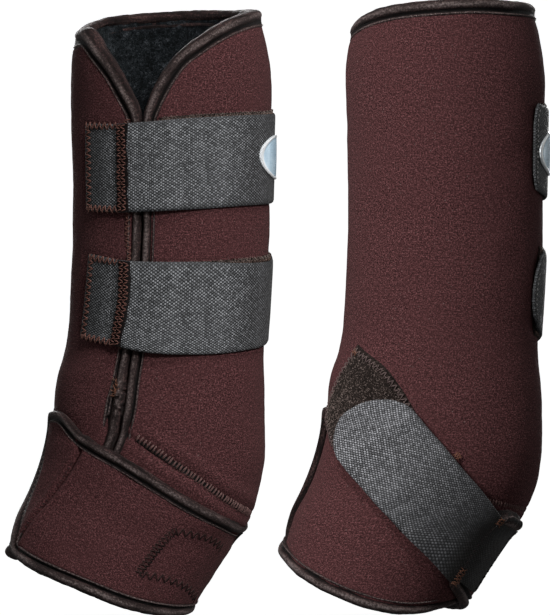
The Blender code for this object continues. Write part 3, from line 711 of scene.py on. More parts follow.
def panels(boot):
    share, rough = columns(200)
    rim, seam, hem = boot.rim(rough), line(SEAM, rough), boot.hem(rough)
    inner_rows = lambda top, low, n: top[:, None] + (low - top)[:, None] * np.linspace(0, 1, n + 1)[None, :]
    for name, station, ends in (("cannon_shell", inner_rows(rim, seam - 0.006, 130), (3.2, 2.6)), ("fetlock_panel", inner_rows(seam + 0.006, hem, 46), (2.6, 3.2))):
        angle = follow(share, rough, station)
        at0 = boot.at(angle, station, 0)
        down = np.concatenate([np.zeros((len(angle), 1)), np.cumsum(np.linalg.norm(np.diff(at0, axis=1), axis=2), axis=1)], axis=1)
        across = np.concatenate([np.zeros((1, angle.shape[1])), np.cumsum(np.linalg.norm(np.diff(at0, axis=0), axis=2), axis=0)], axis=0)
        to_slit = np.minimum(across, (across[-1:] - across) / (1 + gathered(station)))
        u, v = (rough[:, None] - 73) * 0.92 + 0 * station, 330 - (at0[..., 2] - boot.place[2])
        seed = 11 if boot.side > 0 else 29
        d = 0.20 * wobble(u, v, 46, seed) + 0.11 * wobble(u, v, 17, seed + 1) + 0.05 * wobble(u, v, 6, seed + 2)
        d *= 0.4 + 0.6 * ramp(to_slit, 0, 14)
        pressed = under_straps(angle % 360, station)
        d = d * (1 - 0.7 * pressed) - 1.35 * pressed
        d -= 1.5 * (1 - ramp(to_slit, 0.0, 4.2))
        d -= (1.25 * (1 - ramp(off_edge(at0, down) / rim_cover(boot, angle), 2.9, 3.9)) if name == "cannon_shell" else 0.75 * (1 - ramp(down, 0, ends[0]))) + (0.75 if name == "cannon_shell" else 1.2) * (1 - ramp(down[:, -1:] - down, 0, ends[1]))
        to_seam = (down[:, -1:] - down) if name == "cannon_shell" else down
        d += (0.85 * np.exp(-(((to_seam - 7.0) / 3.6) ** 2)) - 0.55 * np.exp(-((to_seam / 3.2) ** 2))) * bump(angle % 360, 82, 172, 6)
        under = bump(angle % 360, SLING_FRONT - 2, SLING_END + 2, 3) * ramp(station - line(SLING_TOP, np.clip(angle % 360, 0, 226)), -0.3, 0.2)
        d = np.where(under > 0, np.minimum(d, 0.25 + (1 - under)), d)
        outer = boot.at(angle, station, d)
        inner = boot.at(angle, station, -SHELL - 0.2)
        built = Build(name, boot)
        built.slab(outer, inner, u, v)
        obj = place(built.object(NEOPRENE), boot, "boots", "neoprene", name)
    # lining: a brushed pile
    share, rough = columns(200, 0.6)
    rim, seam, hem = boot.rim(rough), line(SEAM, rough), boot.hem(rough)
    for name, station in (("cannon_lining", inner_rows(rim + 0.01, seam - 0.006, 170)), ("fetlock_lining", inner_rows(seam + 0.006, hem - 0.02, 52))):
        angle = follow(share, rough, station)
        at0 = boot.at(angle, station, -SKIN)
        u, v = (rough[:, None] - 73) * 0.78 + 0 * station, 330 - (at0[..., 2] - boot.place[2])
        pile = 0.30 * wobble(u, v, 5.0, 3) + 0.22 * wobble(u, v, 2.9, 4) + 0.25 * wobble(u, v, 14, 5)
        built = Build(name, boot)
        built.slab(boot.at(angle, station, -SHELL - 0.25), boot.at(angle, station, -SKIN + 0.15 - pile), u, v)
        place(built.object(PILE), boot, "boots", "lining", name)


# ---- rolled bindings ----------------------------------------------------------------------------------------------
# a folded tape, as (aside from the edge it covers, height over the outer face): a flat selvedge, a stitched groove, a round roll, and the same inside
ROLL_OUT = ((-3.7, -0.7), (-3.6, 0.08), (-3.3, 0.32), (-2.85, 0.34), (-2.55, 0.05), (-2.25, -0.55), (-1.45, -0.60), (-0.95, 0.30), (-0.25, 1.00), (0.70, 1.32), (1.75, 1.18), (2.6, 0.62), (3.3, -0.25))
ROLL_TIP = ((3.75, -1.4), (3.9, -2.6))


def roll(depth):
    """The whole section for a wall of that depth."""
    inside = tuple((s, -depth - h) for s, h in reversed(ROLL_OUT + ROLL_TIP[:1]))
    return np.array(ROLL_OUT + ROLL_TIP + ((3.9, -depth / 2),) + ((3.9, 2.6 - depth),) + inside)


def girth(section, n):
    """Distances round a section, the same for n rings."""
    whole = np.concatenate([section, section[:1]])
    return np.broadcast_to(np.append(0.0, np.cumsum(np.linalg.norm(np.diff(whole, axis=0), axis=1))), (n, len(whole)))


def smooth(path, times, closed=False):
    path = np.array(path)
    for _ in range(times):
        if closed:
            path = (np.roll(path, 1, axis=0) + 2 * path + np.roll(path, -1, axis=0)) / 4
        else:
            path[1:-1] = (path[:-2] + 2 * path[1:-1] + path[2:]) / 4
    return path


def piping(boot, built, path, section, base, sign=1.0, closed=False, grow=None, lift=None, seed=1, pucker=None, broad=1.0, filled=0.0):
    """A rolled tape along a path on the surface. base is the height of the face it lies on, grow scales the roll along the way."""
    n, k = len(path), len(section)
    way = boot.lengths(path)
    base = np.broadcast_to(np.asarray(base, float), n)
    grow = np.ones(n) if grow is None else grow
    lift = np.ones(n) if lift is None else lift
    rings = np.zeros((n, k, 3))
    for j, (s, h) in enumerate(section):
        soft = 1 + 0.05 * wobble(way, np.full(n, j * 0.25), 17, seed) + 0.025 * wobble(way, np.full(n, j * 0.6), 5, seed + 1)
        if pucker is not None:
            soft = soft + pucker * wobble(way, np.full(n, j * 1.1), 3.4, seed + 2)
        aside = s * (grow if s > 0 else broad) * (soft if s > -1.2 else 1.0)
        height = h * soft * (lift if h > 0 else 1.0)
        if -3.4 < s < 0:
            height = height + (0.85 + 0.22 * s - height) * 0.9 * filled
        moved = boot.aside(path, sign * aside, closed)
        rings[:, j] = boot.at(moved[:, 0], moved[:, 1], base + height)
    built.loft(rings, u=way, v=girth(section, n), closed=closed)


def edge_row(boot, built, path, aside, height, closed=False):
    """Small stitches along the inner edge of a binding."""
    row = boot.aside(path, aside, closed)
    stitches(boot, built, dashes(boot, row, 1.9, 0.7), height, 0.24, 0.22)


def bindings(boot):
    sewn = Build("binding_stitching", boot)
    # one tape: up the rear edge of the slit, round the rim with its notch, down the front edge
    up = np.linspace(12.05, 1.74, 160)
    round_ = np.linspace(77.2, 428.8, 420)
    rear = np.stack([line(SLIT, up) + SLIT_HALF, up], axis=1)
    top = np.stack([round_, boot.rim(round_)], axis=1)
    front = np.stack([line(SLIT, up[::-1]) - SLIT_HALF + 360, up[::-1]], axis=1)
    path = smooth(boot.even(np.concatenate([rear, top[1:-1], front]), 1.25), 14)
    in_slit = ramp(path[:, 1], 1.3, 1.9) * np.where((path[:, 0] < 100) | (path[:, 0] > 405), 1.0, 0.0)
    low = ramp(path[:, 1], 6.9, 7.9) * in_slit
    pucker = 0.0 + 0.20 * in_slit * bump(path[:, 1], 6.15, 7.9, 0.2) * (path[:, 0] > 300)
    wide = rim_cover(boot, path[:, 0]) * (1 - in_slit) + in_slit * (1 + gathered(path[:, 1]) * (path[:, 0] > 300))
    filled = np.exp(-((((path[:, 0] + 90) % 180 - 90) / 30) ** 2)) * (1 - in_slit)
    built = Build("edge_binding", boot)
    piping(boot, built, path, roll(SKIN), -0.95 * low, grow=1.14 - 0.21 * in_slit, lift=1.05 - 0.05 * in_slit, seed=5, pucker=pucker, broad=wide, filled=filled)
    # the tape's two ends overlap here, gathered and roughly sewn
    lap = path[(path[:, 0] > 300) & (path[:, 1] > 5.85) & (path[:, 1] < 7.1)]
    shape = np.sin(np.pi * np.linspace(0.06, 0.94, len(lap))) ** 0.5
    piping(boot, built, lap, roll(SKIN), 0.10 * shape, grow=0.9 + 0.30 * shape, lift=0.8 + 0.8 * shape, seed=77, pucker=0.45)
    place(built.object(TAPE, 50), boot, "boots", "binding", "rim_binding", "front_edge_binding", "rear_edge_binding")
    rng = np.random.default_rng(31 if boot.side > 0 else 32)
    middle = lap[rng.integers(1, len(lap) // 2, 26)] + rng.normal(0, 1, (26, 2)) * (1.5, 0.03)
    reach = rng.normal(0, 1, (26, 2)) * (0.75, 0.055)
    loose = Build("binding_splice_threads", boot)
    stitches(boot, loose, np.stack([middle - reach, middle + reach], axis=1), 1.6, 0.20, 0.35)
    obj = loose.object(RUST_BRIGHT, 60)
    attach(obj, "boots")
    for half in (path[:, 0] < 180, path[:, 0] >= 180):
        half = half & (path[:, 1] < 7.2) & (np.abs((path[:, 0] + 180) % 360 - 180) > 7)
        for part in np.split(np.flatnonzero(half), np.flatnonzero(np.diff(np.flatnonzero(half)) > 1) + 1):
            edge_row(boot, sewn, path[part], (-3.08 * wide)[part], 0.36)
    # round the lower edge
    angle = np.linspace(70.0, 416.0, 400)
    path = smooth(boot.even(np.stack([angle, boot.hem(angle)], axis=1), 1.25), 4)
    open_ = np.clip(np.minimum(path[:, 0] - 212, 356 - path[:, 0]) / 14, 0, 1)
    built = Build("bottom_binding", boot)
    ahead = np.abs((path[:, 0] + 180) % 360 - 180)
    piping(boot, built, path, roll(SKIN), -0.75 * (1 - open_) + 2.6 * (1 - ramp(ahead, 8, 24)) * (path[:, 0] > 300), sign=-1.0, seed=8)
    place(built.object(TAPE, 50), boot, "boots", "binding", "bottom_binding")
    edge_row(boot, sewn, path[open_ > 0.9], 3.08, 0.34)
    obj = sewn.object(TAPE_THREAD, 60)
    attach(obj, "boots")


# ---- stitching ------------------------------------------------------------------------------------------------------
def stitches(boot, built, ends, height, thick=0.34, arch=0.35, sides=6):
    """Threads between pairs of places: ends is (m, 2, 2) of (angle, station), height the face they lie on. Both ends dive into the cloth."""
    ends = np.asarray(ends, float)
    m = len(ends)
    height = np.broadcast_to(np.asarray(height, float), m)
    s = np.array([0.0, 0.12, 0.35, 0.65, 0.88, 1.0])
    rise = np.array([-0.9, -0.05, 0.75, 0.75, -0.05, -0.9])
    wide = np.array([0.45, 0.9, 1.0, 1.0, 0.9, 0.45])
    spots = ends[:, None, 0] + (ends[:, None, 1] - ends[:, None, 0]) * s[None, :, None]
    d = height[:, None] + 0.10 + arch * rise[None, :]
    centre = boot.at(spots[..., 0], spots[..., 1], d)
    normal = boot.at(spots[..., 0], spots[..., 1], d + 1) - centre
    normal /= np.linalg.norm(normal, axis=2, keepdims=True)
    along = np.gradient(centre, axis=1)
    along /= np.linalg.norm(along, axis=2, keepdims=True)
    side = np.cross(along, normal)
    side /= np.linalg.norm(side, axis=2, keepdims=True)
    normal = np.cross(side, along)
    turn = np.linspace(0, 2 * np.pi, sides, endpoint=False)
    around = np.cos(turn)[:, None] * side[:, :, None] + np.sin(turn)[:, None] * normal[:, :, None]
    built.threads(centre[:, :, None] + (thick * wide)[:, None, None] * around)


def zigzag(boot, path, width, pitch, seed=0, cross=False, loose=0.10):
    """Pairs of places for a zigzag along a path of (angle, station)."""
    rng = np.random.default_rng(seed)
    way = boot.even(path, pitch / 2)
    left, right = boot.aside(way, width / 2), boot.aside(way, -width / 2)
    side = np.arange(len(way)) % 2
    here = np.where(side[:, None] == 0, left, right)
    pairs = [np.stack([here[:-1], here[1:]], axis=1)]
    if cross:
        there = np.where(side[:, None] == 1, left, right)
        pairs.append(np.stack([there[:-1], there[1:]], axis=1))
    pairs = np.concatenate(pairs)
    scale = np.array([1.1, 0.03 if path[0][1] < 5 else 0.06])
    return pairs + rng.normal(0, loose, pairs.shape) * scale * 0.45


def rungs(boot, path, width, pitch, lean=0.0):
    way = boot.even(path, pitch)
    left, right = boot.aside(way, width / 2), boot.aside(way, -width / 2)
    step = np.gradient(way, axis=0)
    return np.stack([left + step * lean, right - step * lean], axis=1)


def dashes(boot, path, long, gap):
    way = boot.even(path, (long + gap) / 4)
    return np.stack([way[:-2:4][: len(way[2::4])], way[2::4][: len(way[:-2:4])]], axis=1)


def seam(boot):
    angle = np.linspace(79.5, 240, 120)
    path = boot.even(np.stack([angle, line(SEAM, angle)], axis=1), 1.5)
    sink = 0.7 * ramp(path[:, 0], 176, 188)
    # the seam's channel in near-black under the ladder: painted shade in the gap
    built = Build("fetlock_seam", boot)
    section = np.array([(-2.7, -1.9), (-2.6, -0.85), (-1.6, -0.55), (-0.5, -0.65), (0.0, -0.85), (0.5, -0.65), (1.6, -0.55), (2.6, -0.85), (2.7, -1.9)])
    rings = np.zeros((len(path), len(section), 3))
    for j, (s, h) in enumerate(section):
        moved = boot.aside(path, s)
        rings[:, j] = boot.at(moved[:, 0], moved[:, 1], h - sink)
    built.loft(rings)
    place(built.object(PAINTED_SHADE, 60), boot, "boots", "thread", "fetlock_seam")
    built = Build("fetlock_seam_loops", boot)
    pairs = rungs(boot, path, 4.1, 2.15, 0.10)
    at_ = pairs.mean(axis=1)[:, 0]
    stitches(boot, built, pairs + np.random.default_rng(15).normal(0, 1, pairs.shape) * (0.22, 0.012), 0.0 - 1.1 * ramp(at_, 158, 176), 0.56, 0.50)
    obj = built.object(LADDER, 60)
    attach(obj, "boots")


# ---- webbing --------------------------------------------------------------------------------------------------------
RING = (
    [(0.010, 0.80), (0.028, 0.97)] + [(x, 1.0) for x in np.linspace(0.075, 0.925, 16)] + [(0.972, 0.97), (0.990, 0.80), (1.0, 0.5), (0.990, 0.20), (0.972, 0.03)]
    + [(x, 0.0) for x in np.linspace(0.925, 0.075, 6)] + [(0.028, 0.03), (0.010, 0.20), (0.0, 0.5)]
)


def webbing(boot, built, places, low, high, start=0.0, along=None):
    """A flat woven strap: places (m, k, 2) for the k points of RING, between heights low and high, (m,) or (m, k)."""
    m, k = places.shape[:2]
    low = np.broadcast_to(np.asarray(low, float).reshape(len(np.atleast_1d(low)), -1), (m, k))
    high = np.broadcast_to(np.asarray(high, float).reshape(len(np.atleast_1d(high)), -1), (m, k))
    up = np.array([h for _, h in RING])[None, :]
    rings = boot.at(places[..., 0], places[..., 1], low + up * (high - low))
    middle = rings[:, 8:10].mean(axis=1)
    u = start + np.concatenate([[0], np.cumsum(np.linalg.norm(np.diff(middle, axis=0), axis=1))])
    share = np.array([s for s, _ in RING] + [RING[0][0]])
    width = np.linalg.norm(rings[:, 0] - rings[:, 19], axis=1)
    v = share[None, :] * np.median(width) * np.ones((m, 1))
    whole = np.broadcast_to(u[:, None], (m, k + 1))
    if along is not None:
        # (parameter of each point, parameter of each row's middle)
        whole = np.interp(along[0], along[1], u)
        whole = np.concatenate([whole, whole[:, :1]], axis=1)
    built.loft(rings, u=whole, v=v)
    return u[-1]


def strap_under(angle):
    return 0.15 + 2.05 * ramp(angle, 58, 69) - 1.6 * ramp(angle, 84, 112)


def strap_over(angle):
    return 0.5 + STRAP + (STRAP_IN - 0.5) * ramp(angle, 56, 68.5) - 2.5 * ramp(angle, 84, 116)


def across_strap(edges, angles):
    share = np.array([s for s, _ in RING])
    top, low = line(edges[0], angles), line(edges[1], angles)
    station = top[:, None] + (low - top)[:, None] * share[None, :]
    return np.stack([np.broadcast_to(angles[:, None], station.shape), station], axis=2)


SEWN = {"upper": (35.3, 0.0), "lower": (35.0, 3.6)}  # angle where each strap's sewn end starts, and how far its top stands back
COLUMN = ((1.6, 63.6), (3.2, 63.6), (3.5, 63.8), (3.8, 65.6), (5.2, 62.2))  # the long row of stitching: station, angle


def cannon_straps(boot):
    share = np.array([s for s, _ in RING])
    for name, edges, tip in (("upper", UPPER_EDGES, UPPER_TIP), ("lower", LOWER_EDGES, LOWER_TIP)):
        seed = 40 if name == "upper" else 50
        split = 97.0
        # sewn part and free part in one piece; the hinge where the free part peels is given but not used
        start, slant = SEWN[name]
        angles = np.concatenate([[start - 0.5, start - 0.35, start], np.linspace(start + 0.8, split, 96)])
        low, high = strap_under(angles), strap_over(angles)
        thin = np.concatenate([[0.15, 0.75, 1.0], np.ones(96)])
        middle = (low + high) / 2
        places = across_strap(edges, angles)
        places[..., 0] += slant * (1 - share)[None, :] * (1 - ramp(angles, start, start + 30))[:, None]
        wave = 0.10 * wobble(places[..., 0] * 0.9, places[..., 1] * 35, 22, seed) + 0.25 * np.exp(-(((places[..., 0] - 68.5) / 4) ** 2)) + 0.25 * np.exp(-(((places[..., 0] - 77.5) / 4) ** 2)) - 0.15 * np.exp(-(((places[..., 0] - 73) / 2.5) ** 2))
        built = Build(name + "_strap", boot)
        u = webbing(boot, built, places, (middle - thin * (middle - low))[:, None] + 0 * wave, (middle + thin * (high - middle))[:, None] + wave)
        bend(built.object(WEB, 50), boot, "webbing", "boots", name + "_strap", (67.6, line(edges[0], 67.6) + 0.65, 4.0), (75.0, line(edges[0], 75.0) + 0.65, 4.0), name + "_strap_base", name + "_strap")
        # the end that grips
        angles = np.concatenate([np.linspace(split, tip - 0.6, 110), [tip - 0.2, tip]])
        places = across_strap(edges, angles)
        if name == "upper":
            back = 4.2 * np.clip((np.abs(2 * share - 1) - 0.66) / 0.34, 0, 1) ** 1.3
        else:
            back = 22.0 * (1 - np.sqrt(np.clip(1 - np.abs(2 * share - 1) ** 2.0, 0, 1)))
        turn = tip - (40 if name == "lower" else 12)
        places[..., 0] -= np.clip((places[..., 0] - turn) / (tip - turn), 0, 1) * back[None, :]
        wave = 0.10 * wobble(places[..., 0] * 0.9, places[..., 1] * 35, 22, seed)
        low, high = strap_under(angles), strap_over(angles)
        thin = np.concatenate([np.ones(110), [0.75, 0.15]])
        middle = (low + high) / 2
        built = Build(name + "_strap_end", boot)
        webbing(boot, built, places, (middle - thin * (middle - low))[:, None] + 0 * wave, (middle + thin * (high - middle))[:, None] + wave, u, (places[..., 0], angles))
        bend(built.object(WEB, 50), boot, "webbing", name + "_strap", name + "_strap_end", (122.0, line(edges[0], 122.0) + 0.65, 4.0), (134.0, line(edges[0], 134.0) + 0.65, 4.0), name + "_strap_end")
        # pale stitching along the tip
        inset = np.linspace(0.07, 0.93, 60)
        reach = tip - 2.6
        if name == "upper":
            pull = 4.2 * np.clip((np.abs(2 * inset - 1) - 0.66) / 0.34, 0, 1) ** 1.3
        else:
            pull = 22.0 * (1 - np.sqrt(np.clip(1 - np.abs(2 * inset - 1) ** 2.0, 0, 1)))
        around = np.stack([reach - pull, line(edges[0], np.full(60, reach)) + (line(edges[1], np.full(60, reach)) - line(edges[0], np.full(60, reach))) * inset], axis=1)
        built = Build(name + "_tip_stitch", boot)
        stitches(boot, built, dashes(boot, around, 1.5, 1.3), strap_over(180), 0.30, 0.25)
        obj = built.object(GREY, 60)
        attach(obj, boot.prefix + name + "_strap_end")
        # hook tape inside the end
        angles = np.linspace(142, tip - 2.4, 40)
        places = across_strap(edges, angles)
        inner = 0.05 + 0.90 * share
        top, low_ = line(edges[0], angles), line(edges[1], angles)
        places[..., 1] = top[:, None] + (low_ - top)[:, None] * inner[None, :]
        places[..., 0] -= np.clip((places[..., 0] - turn) / (tip - turn), 0, 1) * back[None, :]
        built = Build(name + "_hook_tape", boot)
        webbing(boot, built, places, np.full(40, 0.15), np.full(40, 0.75))
        rng = np.random.default_rng(seed)
        a, s = np.meshgrid(np.linspace(144, tip - 6, 34), np.linspace(0.10, 0.90, 22), indexing="ij")
        a, s = a.ravel(), s.ravel()
        keep = a < tip - 4 - (back.max() if name == "upper" else 22.0 * (1 - np.sqrt(np.clip(1 - np.abs(2 * s - 1) ** 2, 0, 1)))) * np.clip((a - turn) / (tip - turn), 0, 1)
        a, s = a[keep], s[keep]
        t = line(edges[0], a) + (line(edges[1], a) - line(edges[0], a)) * s
        pairs = np.stack([np.stack([a, t], axis=1), np.stack([a + 0.75, t + rng.normal(0, 0.004, len(t))], axis=1)], axis=1)
        stitches(boot, built, pairs, 0.02, 0.16, -0.22, 4)
        place(built.object(HOOK, 60), boot, name + "_strap_end", "hook", name + "_hook_patch")


def strap_sewing(boot):
    """The rust-coloured zigzags: a box round each sewn strap end, and one column down the front of the slit."""
    built = Build("strap_stitching", boot)
    for n, (edges, (start, slant)) in enumerate(((UPPER_EDGES, SEWN["upper"]), (LOWER_EDGES, SEWN["lower"]))):
        def along(first, last, k, inset):
            a = np.linspace(first, last, k)
            top, low = line(edges[0], a), line(edges[1], a)
            return np.stack([a, top + (low - top) * inset], axis=1)
        a = np.linspace(0.02, 0.98, 30)
        at_ = start + 2.7
        side = np.stack([at_ + slant * (1 - a), line(edges[0], np.full(30, at_)) + (line(edges[1], np.full(30, at_)) - line(edges[0], np.full(30, at_))) * a], axis=1)
        for path, seed in ((along(start + 1 + slant, 61, 40, 0.025), 1), (along(start + 1, 60, 40, 0.97), 2), (side, 3)):
            pairs = zigzag(boot, path, 4.2, 3.3, seed + 10 * n)
            mid = pairs.mean(axis=1)[:, 0]
            stitches(boot, built, pairs, strap_over(mid), 0.40, 0.42)
    # the long column: crossed zigzags on the straps, a ladder between them
    t = np.linspace(1.72, 5.10, 120)
    # under the column on each strap, a thin near-black strip: painted shadow of the strap's fold
    under = Build("strap_stitching_tape", boot)
    for edges in (UPPER_EDGES, LOWER_EDGES):
        s = np.linspace(0.005, 0.995, 60)
        a = np.linspace(-3.9, 4.1, 16)[None, :] + line(COLUMN, line(edges[0], np.full(60, 63.0)) + (line(edges[1], np.full(60, 63.0)) - line(edges[0], np.full(60, 63.0))) * s)[:, None]
        a = a + 0.3 * wobble(s[:, None] * 45, 0 * a, 7, 9) * np.linspace(-1, 1, 16)[None, :]
        tt = line(edges[0], a) + (line(edges[1], a) - line(edges[0], a)) * s[:, None]
        rise = 0.02 + 0.12 * np.sin(np.pi * np.linspace(0, 1, 16))[None, :] ** 0.5
        under.slab(boot.at(a, tt, strap_over(a) + rise + 0.25 * np.exp(-(((a - 68.5) / 4) ** 2))), boot.at(a, tt, strap_over(a) - 0.6), tt * 35, a * 0.9)
    obj = under.object(PAINTED_SHADE, 60)
    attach(obj, "boots")
    for shift, seed in ((-1.6, 5), (1.4, 6)):
        path = np.stack([line(COLUMN, t) + shift + 0.25 * np.sin(t * 9), t], axis=1)
        pairs = zigzag(boot, path, 3.4, 3.0, seed, loose=0.22)
        mid = pairs.mean(axis=1)
        on = np.zeros(len(mid))
        for edges in (UPPER_EDGES, LOWER_EDGES):
            on = np.maximum(on, bump(mid[:, 1], line(edges[0], mid[:, 0]), line(edges[1], mid[:, 0]), 0.012))
        high = on * (strap_over(mid[:, 0]) + 0.12)
        keep = (on > 0.5) | (seed == 6)
        stitches(boot, built, pairs[keep], high[keep], 0.34, 0.44)
    obj = built.object(RUST, 60)
    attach(obj, "boots")


# ---- the sling --------------------------------------------------------------------------------------------------------
DART = ((49.5, 8.50), (39.9, 10.04), (28.6, 11.85))  # angle, station


def sling_face(angle):
    return SLING_OUT - SLING_THIN * np.clip(1 - np.asarray(angle) / 40, 0, 1) ** 1.5 - 1.0 * bump(angle, 150, 240, 16)


def drawn_in(angle):
    """How far the sling's upper edge is pulled towards the shell at the back."""
    return 2.7 * bump(angle, 146, 194, 14)


def on_sling(obj, boot, slot, *nodes):
    """The sling's pieces: hides their CAD parts; the line down the back of the outer side, about which the tail
    unwraps, is given but not used.
    """
    return bend(obj, boot, slot, "boots", "sling_tail", (121.0, 10.9, 4.0), (136.0, 10.9, 4.0), *nodes)


def dart_angle(station):
    table = sorted((t, a) for a, t in DART)
    return np.interp(station, [t for t, _ in table], [a for _, a in table])


def lean_in(angle, station):
    """How far the sling's front edge stands back from the line down the front."""
    return (1.5 + 4.0 * ramp(station, 7.3, 8.8) + 14.0 * ramp(station, 10, 12.3)) * (1 - ramp(angle, SLING_FRONT, 44))


def sling(boot):
    angle = np.concatenate([np.linspace(SLING_FRONT, 70, 140), np.linspace(70, SLING_END, 120)[1:]])
    n, rows = len(angle), 60
    share = np.linspace(0, 1, rows + 1)
    top, low = boot.sling_top(angle), boot.sling_hem(angle)
    station = top[:, None] + (low - top)[:, None] * share[None, :]
    angles = np.broadcast_to(angle[:, None], station.shape)
    angles = angles + lean_in(angles, station)
    at0 = boot.at(angles, station, 3)
    down = np.concatenate([np.zeros((n, 1)), np.cumsum(np.linalg.norm(np.diff(at0, axis=1), axis=2), axis=1)], axis=1)
    across = np.concatenate([np.zeros((1, rows + 1)), np.cumsum(np.linalg.norm(np.diff(at0, axis=0), axis=2), axis=0)], axis=0)
    broad = 1 + 1.5 * bump(station, 8.9, 12.1, 0.8)
    from_top, from_low = off_edge(at0, down), off_edge(at0[:, ::-1], (down[:, -1:] - down)[:, ::-1])[:, ::-1]
    edge = np.minimum(np.minimum(from_top, from_low), np.minimum(across / broad, across[-1:] - across))
    u, v = angles * 0.95, down
    seed = 71 if boot.side > 0 else 83
    d = sling_face(angles) + 0.28 * wobble(u, v, 34, seed) + 0.14 * wobble(u, v, 13, seed + 1) + 0.05 * wobble(u, v, 5, seed + 2)
    from_dart = (angles - dart_angle(station)) * 0.86
    d += -2.3 * np.exp(-((from_dart / 0.95) ** 2)) + 0.60 * np.exp(-(((np.abs(from_dart) - 3.6) / 2.0) ** 2))
    d -= 1.3 * (1 - ramp(edge, 2.5, 4.3)) + drawn_in(angles) * (1 - ramp(down, 0, 15))
    hidden = bump(angles, 187, 230, 3)
    d -= 0.35 * hidden
    built = Build("sling", boot)
    built.slab(boot.at(angles, station, d), boot.at(angles, station, SLING_IN - 0.3), u, v)
    on_sling(built.object(NEOPRENE), boot, "neoprene", "sling_panel", "sling_tail")
    # its tape, all the way round
    a = np.linspace(SLING_FRONT, SLING_END, 260)
    side = np.linspace(0, 1, 60)[1:-1]
    at_end = lambda x: np.stack([np.full(58, x), boot.sling_top(x) + (boot.sling_hem(x) - boot.sling_top(x)) * side], axis=1)
    loop = np.concatenate([
        np.stack([a, boot.sling_top(a)], axis=1), at_end(SLING_END),
        np.stack([a[::-1], boot.sling_hem(a[::-1])], axis=1), at_end(SLING_FRONT)[::-1],
    ])
    loop[:, 0] += lean_in(loop[:, 0], loop[:, 1])
    path = boot.even(loop, 1.25, True)
    path = smooth(path, 16, True)
    on_top = path[:, 1] < (boot.sling_top(np.clip(path[:, 0], 4, 222)) + boot.sling_hem(np.clip(path[:, 0], 4, 222))) / 2
    thick = ramp(path[:, 0], 46, 50) * on_top + ramp(path[:, 0], 6, 26) * ~on_top
    section = np.array(
        [(-3.9, -1.0), (-3.8, 0.0), (-3.5, 0.32), (-3.05, 0.34), (-2.75, 0.05), (-2.4, -0.65), (-1.55, -0.70), (-1.0, 0.25), (-0.2, 0.88), (0.9, 1.10), (1.9, 0.90), (2.8, 0.25), (3.5, -0.65),
         (3.9, -1.8), (3.7, -2.9), (2.9, -3.8), (1.5, -4.3), (-0.5, -4.3), (-2.2, -4.1), (-3.6, -3.2)]
    )
    built = Build("sling_binding", boot)
    height = sling_face(np.clip(path[:, 0], SLING_FRONT, SLING_END)) - drawn_in(path[:, 0]) * on_top
    bulb = on_top * bump(path[:, 0], 196, 236, 9)
    scale = 0.45 + 0.20 * on_top * (1 - ramp(path[:, 0], 40, 60)) * ramp(path[:, 0], 8, 16) + (0.55 - 0.20 * on_top * (path[:, 0] < 60)) * thick + 0.75 * bulb
    depth = height - 0.55
    ahead = path[:, 0] - lean_in(np.full(len(path), SLING_FRONT), path[:, 1])
    wide = 1 + 1.5 * (1 - ramp(ahead, SLING_FRONT + 0.5, SLING_FRONT + 6)) * bump(path[:, 1], 8.9, 12.1, 0.8)
    # thin where it is sewn down at the front
    n, k = len(path), len(section)
    way = boot.lengths(path)
    rings = np.zeros((n, k, 3))
    for j, (s, h) in enumerate(section):
        soft = 1 + 0.06 * wobble(way, np.full(n, j * 0.25), 19, 7) + 0.03 * wobble(way, np.full(n, j * 0.6), 5, 8)
        aside = s * (scale if s > 0 else wide) * (soft if s > -1.5 else 1.0)
        moved = boot.aside(path, aside, True)
        rings[:, j] = boot.at(moved[:, 0], moved[:, 1], height + np.where(h < -1.5, h / 4.3 * depth, h * soft * (scale + 0.6 * bulb if h > 0.3 else 1.0)))
    built.loft(rings, u=way, v=girth(section, n), closed=True)
    a = np.linspace(176, 221.5, 80)
    way = boot.even(np.stack([a, boot.sling_top(a)], axis=1), 0.8)
    fat = (1.4 + 3.3 * ramp(way[:, 0], 184, 203)) * np.sqrt(np.clip(1 - np.clip((way[:, 0] - 214.5) / 7.2, 0, 1) ** 2, 0.01, 1))
    fat *= 1 + 0.07 * wobble(np.arange(len(way)) * 0.8, 0 * fat, 6, 17)
    turn = np.linspace(0, 2 * np.pi, 20, endpoint=False)
    rings = np.zeros((len(way), 20, 3))
    for j, phi in enumerate(turn):
        fold = 1 - 0.22 * np.exp(-(((phi - 2.2) / 0.22) ** 2)) + 0.05 * wobble(np.arange(len(way)) * 0.8, np.full(len(way), 2 * phi), 4, 18)
        moved = boot.aside(way, 0.2 + fat * fold * np.cos(phi))
        rings[:, j] = boot.at(moved[:, 0], moved[:, 1], sling_face(way[:, 0]) - drawn_in(way[:, 0]) + 0.2 + 0.72 * fat * fold * np.sin(phi))
    built.loft(rings)
    on_sling(built.object(TAPE, 50), boot, "binding", "sling_binding", "sling_tail_binding")
    built = Build("sling_binding_stitching", boot)
    row = boot.aside(path, -3.27 * wide, True)
    pairs = dashes(boot, np.concatenate([row, row[:1]]), 1.9, 0.7)
    at_ = pairs.mean(axis=1)[:, 0]
    upper = pairs.mean(axis=1)[:, 1] < (boot.sling_top(np.clip(at_, 4, 222)) + boot.sling_hem(np.clip(at_, 4, 222))) / 2
    stitches(boot, built, pairs, sling_face(np.clip(at_, SLING_FRONT, SLING_END)) - drawn_in(at_) * upper + 0.32, 0.22, 0.2)
    on_sling(built.object(TAPE_THREAD, 60), boot, "thread")
